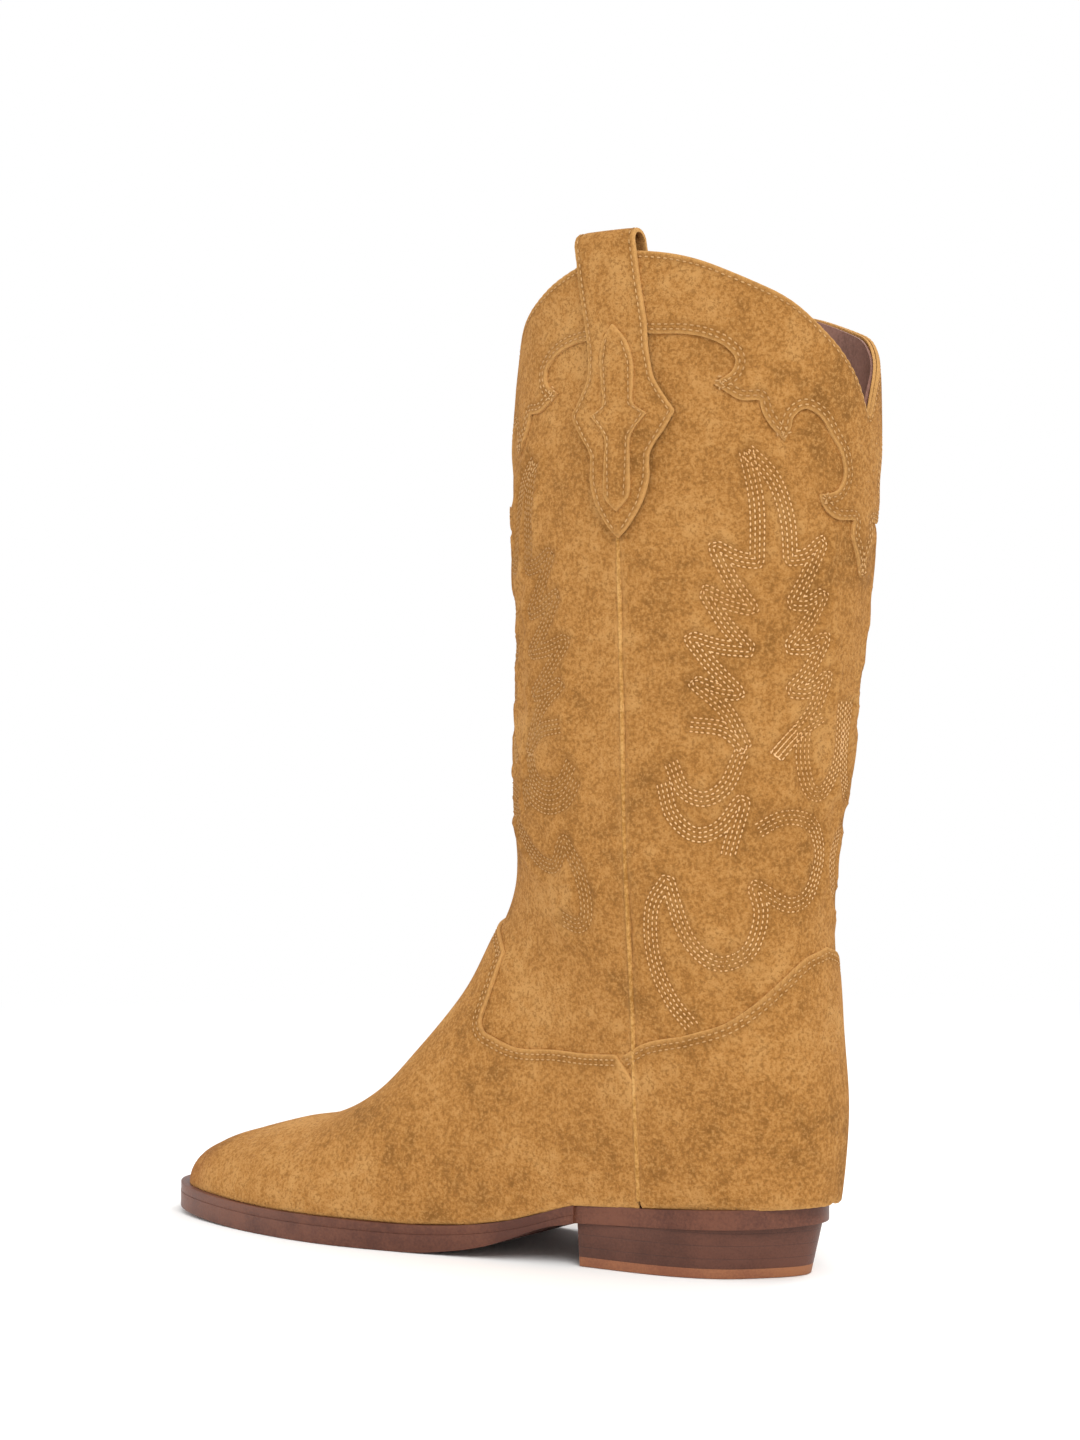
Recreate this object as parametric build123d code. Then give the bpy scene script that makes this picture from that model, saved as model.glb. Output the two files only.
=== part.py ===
from build123d import *
import math
import os

# Cowboy boot, left foot.
# Frame: origin at the middle of the heel's tread on the ground, -X towards the toe,
# -Y towards the outer (lateral) side of the foot, +Z up. Millimetres.

os.makedirs("parts", exist_ok=True)

# ---- driving dimensions ----------------------------------------------------------
foot_length = 292.0        # outsole, toe tip to back of the heel seat
boot_height = 356.0        # ground to the highest point of the rim
ball_width = 82.0          # upper across the ball of the foot
shaft_width = 93.0         # shaft side to side near the top
rim_dip = 53.0             # how far the rim drops at front and back
rim_fall = 12.0            # how much lower the rim is on the inner side of the leg

foot_leather = 1.3         # vamp and counter
shaft_leather = 1.3        # shaft panels, and the stiffeners in the same layer
lining_leather = 1.1       # lining of foot and shaft
collar_leather = 1.3       # scalloped collars
strap_leather = 1.6        # pull straps
overlay_leather = 1.3      # narrow piece sewn on each pull strap
strap_width = 25.0         # plain part of a pull strap
strap_lean = 0.07          # the strap's upper part leans forwards by this slope
loop_rise = 8.4            # strap above the rim
loop_width = 7.0           # clear space inside the strap's loop, across the boot
piping_width = 2.2         # bead in each side seam
piping_proud = 0.7         # how far the bead stands out of the foot leather

welt_thickness = 3.4
outsole_thickness = 6.4
waist_thickness = 3.0      # outsole under the arch
welt_margin = 3.2          # ledge of the welt beyond the upper
toe_margin = 7.0           # the same, at the toe tip
welt_inset = 8.0           # welt under the edge of the upper
toe_spring = 3.4
heel_height = 22.0         # ground to the heel seat at the breast
heel_rise = 3.6            # further rise of the seat to the back
lift_thickness = 3.4       # top lift
heel_rake = 6.0            # underslung back of the heel
heel_side = 3.0            # heel beyond the upper, at its sides
insole_thickness = 2.4
sock_thickness = 1.0
shank_width = 14.0
shank_thickness = 1.3

hinge_height = 170.0       # axis about which the shaft leans
flex_radius = 78.0         # radius of the cut between the foot and the shaft
flex_gap = 0.4             # clearance at that cut
fit_gap = 0.1              # clearance between pieces that only lie on each other
underlap = 8.0             # panel tucked under the vamp and the counter

# ---- scales from the last's base size --------------------------------------------
k_x = foot_length / 292.0
k_z = boot_height / 356.0
k_foot = ball_width / 82.0
k_shaft = shaft_width / 93.0

seam_x = -18.0 * k_x                      # side seam
axis_x = -20.0 * k_x                      # hinge axis, middle of the shaft
pivot_x, pivot_z = -124.0 * k_x, 175.0 * k_z   # where the fan of ankle sections meets
shaft_x, shaft_a = -15.0 * k_x, 71.0 * k_x     # middle and half depth of the shaft's top
shaft_b = shaft_width / 2
stack = welt_thickness + outsole_thickness
big = 2 * boot_height


# ---- the last: closed sections from the toe to above the rim ---------------------
# Toe to instep, upright sections: x, top z, half width.
toe_sections = [(-241.5, 16.5, 9), (-237, 22, 15.5), (-227, 27.5, 22.5), (-210, 33, 29.5),
                (-190, 38.5, 35.5), (-170, 42.5, 39.5), (-152, 50.5, 41), (-137, 61, 40.5)]
# Ankle, sections fanned about the pivot: degrees from upright, near and far
# distance from the pivot, half width. Far ends below the seat are trimmed by it.
fan_sections = [(0, 100.5, 228, 39.5), (13, 80.5, 234, 36.5), (26, 65.5, 241, 34),
                (37, 57.5, 243, 33.5), (45, 53, 229, 35), (53, 48.5, 208.5, 37),
                (62, 44, 186, 39.2), (72, 40.8, 170.2, 41.2), (90, 38.8, 168, 42.8)]
# Shaft, level sections: z, front x, back x, half width.
shaft_sections = [(200, -84.5, 47.2, 43.5), (228, -83.8, 50, 44.7), (256, -84.6, 52.6, 46),
                  (284, -84.4, 54.2, 46.6), (312, -82.2, 54.4, 46.4), (342, -79.5, 54, 46.2),
                  (378, -78.5, 53.5, 46)]
rounding = 2.12            # exponent of the sections, 2 is an ellipse
points_round = 24


def ring(middle, along, half_a, half_b, swing):
    """Closed section: half_a along the given direction, half_b across the boot."""
    steps = [i / points_round for i in range(points_round + 1)]
    points = []
    for i in range(points_round):
        turn = 2 * math.pi * i / points_round
        c, s = math.cos(turn), math.sin(turn)
        a = -half_a * math.copysign(abs(c) ** (2 / rounding), c)
        b = -half_b * math.copysign(abs(s) ** (2 / rounding), s)
        points.append(middle + along * a + Vector(0, b + swing, 0))
    return Wire([Edge.make_spline(points, periodic=True, parameters=steps)])


def swing(x):
    """Sideways bend of the foot's middle line: the toe points inwards."""
    forward = max(0.0, -60 * k_x - x) / (192 * k_x)
    return 7.0 * k_foot * forward ** 2


def feather(x):
    """Height of the line where the upper meets the welt."""
    table = [(-260, stack + toe_spring * 0.75), (-225, stack + toe_spring * 0.3), (-180, stack),
             (-112, stack + 0.2), (-88, stack + 0.15 * (heel_height - stack)),
             (-70, stack + 0.4 * (heel_height - stack)), (-44, heel_height),
             (0, heel_height + heel_rise * 0.5), (50, heel_height + heel_rise)]
    for (x0, z0), (x1, z1) in zip(table, table[1:]):
        if x <= x1 * k_x:
            share = (x - x0 * k_x) / ((x1 - x0) * k_x)
            return z0 + (z1 - z0) * share
    return table[-1][1]


def last(offset):
    """Solid of the boot's outer panel surface, grown or shrunk by offset."""
    rings = []
    tip_shift = [1.0, 0.75, 0.4, 0.15]
    for i, (x, top, half) in enumerate(toe_sections):
        shift = tip_shift[i] if i < len(tip_shift) else 0.0
        x = x * k_x - offset * shift
        top = top * k_z + offset
        base = feather(x)
        middle = Vector(x, 0, base)
        rings.append(ring(middle, Vector(0, 0, -1), top - base, half * k_foot + offset, swing(x)))
    for degrees, near, far, half in fan_sections:
        angle = math.radians(degrees)
        along = Vector(math.sin(angle) * k_x, 0, -math.cos(angle) * k_z)
        stretch = along.length
        along = along.normalized()
        near, far = near * stretch - offset, far * stretch + offset
        mix = degrees / 90
        half = half * (k_foot * (1 - mix) + k_shaft * mix) + offset
        middle = Vector(pivot_x, 0, pivot_z) + along * ((near + far) / 2)
        low = swing(pivot_x) * (1 - mix) ** 2
        rings.append(ring(middle, along, (far - near) / 2, half, low))
    for z, front, back, half in shaft_sections:
        front, back = front * k_x - offset, back * k_x + offset
        middle = Vector((front + back) / 2, 0, z * k_z)
        rings.append(ring(middle, Vector(1, 0, 0), (back - front) / 2, half * k_shaft + offset, 0))
    return Solid.make_loft(rings)


def face_from(*lines):
    """Flat face bounded by the edges of the lines, in order."""
    return Face(Wire([edge for line in lines for edge in line.edges()]))


def side_prism(points, curve=()):
    """Prism across the boot; points are x, z. curve is a smooth run that ends the outline."""
    flat = [Vector(x, 0, z) for x, z in points]
    if curve:
        run = [Vector(x, 0, z) for x, z in curve]
        face = face_from(Spline(run), Polyline([run[-1]] + flat + [run[0]]))
    else:
        face = face_from(Polyline(flat + [flat[0]]))
    return extrude(face, big, dir=(0, 1, 0), both=True)


def end_prism(points, x_from, x_to):
    """Prism along the boot between two x; points are y, z."""
    flat = [Vector(x_from, y, z) for y, z in points]
    return extrude(face_from(Polyline(flat + [flat[0]])), x_to - x_from, dir=(1, 0, 0))


def block(x0, x1, y0, y1, z0, z1):
    """Box from its limits."""
    return Pos((x0 + x1) / 2, (y0 + y1) / 2, (z0 + z1) / 2) * Box(x1 - x0, y1 - y0, z1 - z0)


def scaled(points):
    """Side outline at the base size, taken to the boot's size."""
    return [(x * k_x, z * k_z) for x, z in points]


# ---- outlines seen from the side -------------------------------------------------
vamp_edge = scaled([(-18, 82), (-42, 78.5), (-64, 78), (-76, 79.5), (-82.5, 83), (-84, 88),
                    (-80.5, 96), (-77.5, 104), (-76, 112), (-86, 116), (-112, 121)])
counter_edge = scaled([(-18, 82), (-10, 83.5), (7, 87.5), (18, 92), (26, 98), (33, 106),
                       (39, 113), (48, 117), (70, 119)])


def below_line(edge, x_end, drop=0.0):
    """Everything under an edge that runs from the side seam to x_end."""
    run = [(x, z - drop) for x, z in edge]
    return side_prism([(x_end, run[-1][1]), (x_end, -big), (run[0][0], -big)], curve=run)


seat_stations = [-260, -225, -180, -146, -112, -88, -70, -56, -44, -22, 0, 50]


def seat_curve(height):
    """Smooth side line at a height counted from the feather line."""
    return Spline([Vector(x * k_x, 0, feather(x * k_x) + height) for x in seat_stations])


def between(low_line, high_line):
    """Prism across the boot between two side lines that run from the toe to the heel."""
    face = face_from(low_line, Line(low_line @ 1, high_line @ 1), high_line,
                     Line(high_line @ 0, low_line @ 0))
    return extrude(face, big, dir=(0, 1, 0), both=True)


def seat_band(low, high):
    """Everything between two heights counted from the feather line."""
    return between(seat_curve(low), seat_curve(high))


def flex_round(radius):
    """Round space under and about the hinge axis, and everything above it."""
    centre_z = hinge_height * k_z
    disc = Pos(axis_x, 0, centre_z) * Rot(90, 0, 0) * Cylinder(radius, 2 * big)
    upper = block(axis_x - radius, axis_x + radius, -big, big, centre_z, centre_z + big)
    wings = side_prism([(axis_x - big, centre_z), (axis_x + big, centre_z),
                        (axis_x + big, big), (axis_x - big, big)])
    return disc + upper + wings


# ---- rim -------------------------------------------------------------------------
def above_rim():
    """Space above the rim: an arch seen from the side, a notch seen from each end."""
    peak = boot_height
    arch = [(-140, -52), (-86, -26), (-64, -15), (-45, -6.5), (-30, -1.8), (-16, 0), (-2, -1),
            (12, -4), (26, -9.5), (42, -17), (62, -28), (100, -50)]
    curve = [(x * k_x, peak + z * k_z) for x, z in arch]
    space = side_prism([(100 * k_x, big), (-140 * k_x, big)], curve=curve)
    for x_from, x_to in ((-big, axis_x - 20), (axis_x + 20, big)):
        notch = [(0, 1.0), (4, 0.83), (9, 0.69), (14, 0.59), (21, 0.47), (28, 0.34), (35, 0.22),
                 (40, 0.08), (44, -0.2)]
        right = [(y * k_shaft, peak - rim_dip * share) for y, share in notch]
        left = [(-y, z) for y, z in reversed(right[1:])]
        tops = [(60 * k_shaft, big), (-60 * k_shaft, big)]
        space += end_prism(left + right + tops, x_from, x_to)
    slant = math.degrees(math.atan2(rim_fall, shaft_width))
    return Pos(0, -shaft_b, peak) * Rot(-slant, 0, 0) * Pos(0, shaft_b, -peak) * space


# ---- collars: lower edge as degrees from the side seam and z ----------------------
collar_edge = [(0, 331), (14, 327), (28, 326), (38, 323), (44, 318), (38, 310), (43, 305),
               (52, 302), (55, 295), (61, 289), (63, 298), (69, 299), (76, 289), (79, 278),
               (71, 271), (76, 263), (84, 262), (86, 251), (90, 243)]
side_turn = 52             # up to here the edge is cut across, beyond it along the boot


def collar_cut(sign):
    """Space above the collar's lower edge, for the front (-1) or the back (+1)."""
    run = [(shaft_x + sign * shaft_a * math.sin(math.radians(t)), z * k_z)
           for t, z in collar_edge if t <= side_turn]
    end = [(shaft_b * math.cos(math.radians(t)), z * k_z)
           for t, z in collar_edge if t >= side_turn]
    y_split = end[0][0]
    seam = [(seam_x, run[0][1])]
    across = side_prism(seam + run[1:] + [(run[-1][0] + sign * 60, run[-1][1]),
                                          (run[-1][0] + sign * 60, big), (seam_x, big)])
    across -= block(-big, big, -y_split, y_split, 0, big)
    mirrored = [(-y, z) for y, z in reversed(end[:-1])]
    outline = end + mirrored + [(-y_split, big), (y_split, big)]
    x_limits = (seam_x, big) if sign > 0 else (-big, seam_x)
    return across + end_prism(outline, *x_limits)


# ---- pull straps -----------------------------------------------------------------
# Half outlines as z and half width.
strap_half = [(257, 0), (263, 5.5), (269, 9.2), (277, 11.6), (286, 11.8), (294, 17), (300, 20.5),
              (306, 16.5), (312, 13.2), (322, 12), (330, 12.3), (342, 12.5)]
overlay_half = [(266, 0), (271, 4.6), (292, 5.2), (299.5, 11), (303, 6), (318, 6.4), (325, 4.6),
                (331, 0)]


def strap_outline(half, top=None):
    """Prism across the boot with the outline of a strap piece."""
    grow = strap_width / 25.0
    right = [(seam_x + w * grow, z * k_z) for z, w in half]
    if top is not None:
        right.append((seam_x + strap_width / 2, top))
    left = [(2 * seam_x - x, z) for x, z in reversed(right) if x > seam_x + 0.01]
    lean_from = 300 * k_z
    leaning = [(x - max(0.0, z - lean_from) * strap_lean, z) for x, z in right + left]
    return side_prism(leaning)


def strap_profile(side, rim_z):
    """Band of leather up the outside, over the rim and down the inside, seen along the boot."""
    t = strap_leather
    outer = shaft_b + 0.2 + collar_leather + fit_gap + t / 2
    inner = outer - loop_width - t
    # The leg is flat and the lining curves away from it, most at the strap's front edge.
    reach = shaft_x - (seam_x - strap_width / 2 - strap_lean * (boot_height - 300 * k_z))
    curve = reach ** 2 * shaft_b / (2 * shaft_a ** 2)
    inside = shaft_b - shaft_leather - lining_leather - 5 * fit_gap - t / 2 - curve
    radius = loop_width / 2
    centre_z = rim_z + loop_rise - t - radius
    half = strap_width
    x0, x1 = seam_x - half, seam_x + half
    middle_y = side * (outer + inner) / 2
    band = block(x0, x1, side * outer - t / 2, side * outer + t / 2, 250 * k_z, centre_z)
    rod = Pos(seam_x, middle_y, centre_z) * Rot(0, 90, 0)
    hoop = rod * (Cylinder(radius + t, 2 * half) - Cylinder(radius, 2 * half))
    band += hoop & block(x0, x1, -big, big, centre_z, big)
    bend_z = rim_z - 10
    foot_z = rim_z - 42
    band += block(x0, x1, side * inner - t / 2, side * inner + t / 2, bend_z, centre_z)
    leg = [(inner - t / 2, bend_z), (inner + t / 2, bend_z), (inside + t / 2, bend_z - 12),
           (inside + t / 2, foot_z), (inside - t / 2, foot_z), (inside - t / 2, bend_z - 12)]
    return band + end_prism([(side * y, z) for y, z in leg], x0, x1)


def pull_strap(side):
    """One pull strap."""
    rim_z = boot_height if side < 0 else boot_height - rim_fall
    return strap_profile(side, rim_z) & strap_outline(strap_half, boot_height + 2 * loop_rise)


def pull_strap_overlay(side):
    """Narrow piece sewn on the outside of a pull strap."""
    inner = shaft_b + 0.2 + collar_leather + fit_gap + strap_leather
    y0, y1 = sorted((side * inner, side * (inner + overlay_leather)))
    return strap_outline(overlay_half) & block(-big, big, y0, y1, 0, big)


# ---- sole ------------------------------------------------------------------------
# Half width of the upper at the feather line, from the toe to the heel.
plan = [(-241.5, 8.5), (-236, 14.5), (-226, 21), (-210, 28), (-190, 34.5), (-170, 39.2),
        (-150, 41), (-130, 40), (-108, 37.2), (-86, 34.5), (-64, 32.3), (-40, 31), (-16, 30.8),
        (2, 29.8), (15, 26.6), (25.5, 20.5), (32.5, 12)]
plan_toe = -243.5
plan_heel = 35.5


def sole_outline(margin, toe_extra=0.0):
    """Closed outline of the sole, margin outside the upper, as a face on the ground."""
    right = []
    for x, half in plan:
        toe_share = max(0.0, (-x - 170) / 70)
        right.append((x * k_x - toe_extra * toe_share, half * k_foot + margin + toe_extra * toe_share * 0.5))
    tip = (plan_toe * k_x - margin - toe_extra, 0)
    back = (plan_heel * k_x + margin, 0)
    upper_side = [Vector(x, y + swing(x), 0) for x, y in right]
    lower_side = [Vector(x, -y + swing(x), 0) for x, y in reversed(right)]
    points = [Vector(tip[0], swing(tip[0]), 0)] + upper_side + [Vector(*back, 0)] + lower_side
    return face_from(Spline(points, periodic=True))


def sole_prism(margin, toe_extra=0.0):
    """Upright prism on the sole's outline."""
    return Pos(0, 0, -big) * extrude(sole_outline(margin, toe_extra), 2 * big, dir=(0, 0, 1))


def inner_prism(inset):
    """Upright prism inside the upper's outline, by the inset."""
    toe = plan_toe * k_x + inset
    heel = plan_heel * k_x - inset
    right = [(x * k_x, half * k_foot - inset) for x, half in plan
             if toe + inset < x * k_x < heel - inset]
    upper_side = [Vector(x, y + swing(x), 0) for x, y in right]
    lower_side = [Vector(x, -y + swing(x), 0) for x, y in reversed(right)]
    points = [Vector(toe, swing(toe), 0)] + upper_side + [Vector(heel, 0, 0)] + lower_side
    face = face_from(Spline(points, periodic=True))
    return Pos(0, 0, -big) * extrude(face, 2 * big, dir=(0, 0, 1))


breast_x = -44.0 * k_x         # front face of the heel
ledge = toe_margin - welt_margin


def outsole_bottom():
    """Side line of the outsole's underside: toe spring, flat tread, arched waist, seat."""
    thin = welt_thickness + waist_thickness
    toe = Spline([Vector(-260 * k_x, 0, toe_spring * 1.15), Vector(-225 * k_x, 0, toe_spring * 0.32),
                  Vector(-185 * k_x, 0, 0)], tangents=[(1, 0, -0.12), (1, 0, 0)])
    tread = Line(toe @ 1, Vector(-114 * k_x, 0, 0))
    rise = heel_height - thin
    waist = [Vector(-114 * k_x, 0, 0), Vector(-96 * k_x, 0, 0.1 * rise),
             Vector(-80 * k_x, 0, 0.3 * rise), Vector(-66 * k_x, 0, 0.62 * rise),
             Vector(-54 * k_x, 0, 0.88 * rise), Vector(breast_x, 0, rise)]
    arch = Spline(waist, tangents=[(1, 0, 0), (1, 0, 0.25)])
    seat = Line(arch @ 1, Vector(60 * k_x, 0, feather(60 * k_x) - thin))
    return Wire([toe, tread, arch, seat])


def heel_outline(shrink, back_x):
    """Closed D outline of the heel, as points in plan."""
    half = [(breast_x, 29.5), (-20 * k_x, 30.3), (2 * k_x, 28.8), (18 * k_x, 23.5), (28 * k_x, 15.5)]
    reach = (back_x - breast_x) / (plan_heel * k_x + welt_margin - breast_x)
    side = [(breast_x + (x - breast_x) * reach, y * k_foot + heel_side - shrink) for x, y in half]
    top = [Vector(x, y, 0) for x, y in side]
    low = [Vector(x, -y, 0) for x, y in reversed(side)]
    curve = Spline(top + [Vector(back_x, 0, 0)] + low)
    hollow = ThreePointArc(curve @ 1, Vector(breast_x + 3.0, 0, 0), curve @ 0)
    return face_from(curve, hollow)


def heel_stack():
    """Heel and top lift as one raked solid, a little taller than the seat."""
    top_z = heel_height + heel_rise
    top_back = plan_heel * k_x + welt_margin - 1.2
    foot_back = top_back - heel_rake
    low = heel_outline(2.4, foot_back)
    high = Pos(0, 0, top_z) * heel_outline(0.0, top_back)
    return Solid.make_loft([low.outer_wire(), high.outer_wire()])


def nails(places, radius, low, high):
    """Group of round nails standing upright."""
    return [Pos(x, y, (low + high) / 2) * Cylinder(radius, high - low) for x, y in places]


def u_row(inset, count):
    """Nail places along the heel's edge."""
    places = []
    for i in range(count):
        t = math.pi * (i / (count - 1) - 0.5)
        x = -4 * k_x + (30 * k_x - inset) * math.cos(t) - 4
        y = (30 * k_foot - inset) * math.sin(t)
        places.append((x, y))
    return places


def save(name, shape):
    """Write one named piece."""
    solids = shape.solids() if hasattr(shape, "solids") else [s for p in shape for s in p.solids()]
    whole = Compound(children=list(solids)) if len(solids) > 1 else solids[0]
    export_step(whole, f"parts/{name}.step")
    print(f"{name:28s} solids {len(solids):2d}  volume {whole.volume:10.1f}")


# ---- shells of the upper ---------------------------------------------------------
base = last(0)
inside = last(-shaft_leather)
cavity = last(-shaft_leather - lining_leather)
foot_skin = last(foot_leather)
half_bead = piping_width / 2
seam_front = seam_x - half_bead
seam_back = seam_x + half_bead
below_seat = between(Line(Vector(-260 * k_x, 0, -big), Vector(50 * k_x, 0, -big)), seat_curve(0))
rim_space = above_rim()
moving = flex_round(flex_radius)
keep_off = flex_round(flex_radius + flex_gap)

foot_shell = (foot_skin - base) - below_seat
panel_shell = base - inside
lining_shell = inside - cavity
lower_panels = (panel_shell - below_seat) - keep_off
lower_lining = (lining_shell - below_seat) - keep_off

# vamp, counter and what stiffens them
under_vamp = below_line(vamp_edge, -3 * foot_length)
under_counter = below_line(counter_edge, 3 * foot_length)
tucked_vamp = below_line(vamp_edge, -3 * foot_length, underlap)
tucked_counter = below_line(counter_edge, 3 * foot_length, underlap)
puff_x = -204 * k_x
front_half = block(-big, seam_x, -big, big, -big, big)
back_half = block(seam_x, big, -big, big, -big, big)
before_bead = block(-big, seam_front, -big, big, -big, big)
after_bead = block(seam_back, big, -big, big, -big, big)
bead_slot = block(seam_front, seam_back, -big, big, 0, big)

save("vamp", foot_shell & under_vamp & before_bead)
save("counter", foot_shell & under_counter & after_bead)
under_layer = lower_panels & tucked_vamp
save("toe_puff", under_layer & block(-big, puff_x, -big, big, 0, big))
save("vamp_interlining", under_layer & block(puff_x, seam_front, -big, big, 0, big))
save("heel_stiffener", lower_panels & tucked_counter & after_bead)
save("ankle_front_panel", (lower_panels - tucked_vamp) & before_bead)
save("ankle_back_panel", (lower_panels - tucked_counter) & after_bead)
save("vamp_lining", lower_lining & front_half)
save("quarter_lining", lower_lining & back_half)

# shaft
collar_z = collar_edge[0][1] * k_z
bead_top = collar_z - 6
upper_panels = panel_shell - rim_space
bead_space = block(seam_front, seam_back, -big, big, 0, bead_top)
save("front_panel", ((upper_panels & front_half) & moving) - bead_space)
save("back_panel", ((upper_panels & back_half) & moving) - bead_space)
upper_lining = lining_shell - rim_space
save("shaft_lining_front", (upper_lining & front_half) & moving)
save("shaft_lining_back", (upper_lining & back_half) & moving)
collar_shell = (last(collar_leather) - base) - rim_space
save("front_collar", collar_shell & collar_cut(-1))
save("back_collar", collar_shell & collar_cut(1))

# piping in the side seams
foot_bead = (last(foot_leather + piping_proud) - inside) & bead_slot
foot_bead = (foot_bead - below_seat) - keep_off
shaft_bead = (last(shaft_leather - fit_gap) - inside) & bead_space & moving
for side, name in ((-1, "lateral"), (1, "medial")):
    y0, y1 = sorted((0, side * big))
    half_space = block(-big, big, y0, y1, -big, big)
    save(f"foot_piping_{name}", foot_bead & half_space & block(-big, big, -big, big, 0, 150 * k_z))
    save(f"shaft_piping_{name}", shaft_bead & half_space)
    save(f"pull_strap_{name}", pull_strap(side))
    save(f"pull_strap_overlay_{name}", pull_strap_overlay(side))

# sole
sole_low = -welt_thickness
welt_zone = block(-big, breast_x, -big, big, -big, big)
seat_zone = block(breast_x, big, -big, big, -big, big)
welt_layer = seat_band(sole_low, 0)
welt_core = inner_prism(welt_inset)
shank_x0, shank_x1 = -112 * k_x, -6 * k_x
shank = seat_band(-shank_thickness - 0.6, -0.6) & block(shank_x0, shank_x1, -shank_width / 2,
                                                         shank_width / 2, -big, big)
heel_pins = u_row(9.0, 7)
heel_nails = nails(heel_pins, 1.1, lift_thickness + 4, heel_height + 1)
lift_nails = nails(u_row(6.5, 7), 0.7, 0.3, lift_thickness + 6)
welt = sole_prism(welt_margin, ledge) - welt_core
save("welt", welt & welt_layer & welt_zone)
save("cork_filler", (welt_core & welt_layer & welt_zone) - shank)
save("shank", shank)
rand = sole_prism(welt_margin - 1.2) & welt_layer & seat_zone
save("heel_rand", rand - shank - heel_nails)
outsole_space = between(outsole_bottom(), seat_curve(sole_low))
outsole = (sole_prism(welt_margin + 0.2, ledge) & welt_zone) + (sole_prism(welt_margin - 1.2)
                                                                 & seat_zone)
save("outsole", (outsole & outsole_space) - heel_nails)
under_seat = between(Line(Vector(-260 * k_x, 0, -big), Vector(60 * k_x, 0, -big)),
                     outsole_bottom())
heel = heel_stack() & under_seat
above_lift = block(-big, big, -big, big, lift_thickness, big)
save("heel_block", (heel & above_lift) - heel_nails - lift_nails)
save("top_lift", (heel - above_lift) - lift_nails)
save("heel_nails", heel_nails)
save("top_lift_nails", lift_nails)
footbed = last(-shaft_leather - lining_leather - 2 * fit_gap)
save("insole", footbed & seat_band(0, insole_thickness))
save("sock_lining", footbed & seat_band(insole_thickness, insole_thickness + sock_thickness))
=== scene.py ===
"""Cowboy boot: the visual model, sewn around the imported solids."""

import logging
import math
from dataclasses import dataclass, field
from enum import Enum
from typing import Any, Protocol, Sequence, Union

import bmesh
import bpy
import numpy as np
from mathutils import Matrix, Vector, kdtree, noise
from mathutils.geometry import delaunay_2d_cdt


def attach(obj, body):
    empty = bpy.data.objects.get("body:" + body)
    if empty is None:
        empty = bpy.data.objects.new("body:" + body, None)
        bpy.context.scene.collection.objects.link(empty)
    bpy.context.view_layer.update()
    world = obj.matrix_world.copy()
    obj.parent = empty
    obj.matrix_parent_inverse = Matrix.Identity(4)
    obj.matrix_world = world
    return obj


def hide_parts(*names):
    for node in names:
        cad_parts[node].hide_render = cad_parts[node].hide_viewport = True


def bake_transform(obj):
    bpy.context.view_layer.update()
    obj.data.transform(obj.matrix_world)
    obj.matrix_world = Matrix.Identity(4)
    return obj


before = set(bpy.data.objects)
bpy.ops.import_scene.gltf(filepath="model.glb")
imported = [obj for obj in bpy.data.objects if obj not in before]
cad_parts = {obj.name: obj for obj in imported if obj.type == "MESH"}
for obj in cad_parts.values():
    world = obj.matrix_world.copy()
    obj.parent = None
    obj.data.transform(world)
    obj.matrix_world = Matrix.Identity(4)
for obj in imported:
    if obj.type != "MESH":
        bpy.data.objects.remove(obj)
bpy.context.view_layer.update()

log = logging.getLogger("boot")
MM = 0.001

Points = np.ndarray
Run = Sequence[tuple[float, float]]
Piece = bpy.types.Object
Material = bpy.types.Material
Tree = bpy.types.NodeTree
Socket = bpy.types.NodeSocket
Value = Union[float, tuple, Socket]

BEAD_SIDES = 12
FLOOR_SIDES = 96
FLOOR_RADIUS = 6000.0
VAMP_ROWS = (1.8, 3.6)
COLLAR_ROWS = (1.5, 3.2)
VAMP_MEETS_SOLE_AT = 18.8
COUNTER_MEETS_SOLE_AT = 17.2


def over(curve: Points, at: Points) -> Points:
    """Smooth values of a table of (position, values...) rows, at some positions.

    Args:
        curve: rows whose first number is the position, in rising order.
        at: positions.

    Returns:
        One row of values for each position.
    """
    x, y = curve[:, 0], curve[:, 1:]
    if len(x) > 2:
        slope = np.gradient(y, x, axis=0)
    else:
        slope = np.repeat(np.diff(y, axis=0) / np.diff(x), 2, 0)
    i = np.clip(np.searchsorted(x, at) - 1, 0, len(x) - 2)
    wide = (x[i + 1] - x[i])[:, None]
    t = np.clip((at - x[i])[:, None] / wide, 0, 1)
    a, b = 2 * t**3 - 3 * t**2 + 1, t**3 - 2 * t**2 + t
    c, d = -2 * t**3 + 3 * t**2, t**3 - t**2
    return a * y[i] + b * wide * slope[i] + c * y[i + 1] + d * wide * slope[i + 1]


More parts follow.
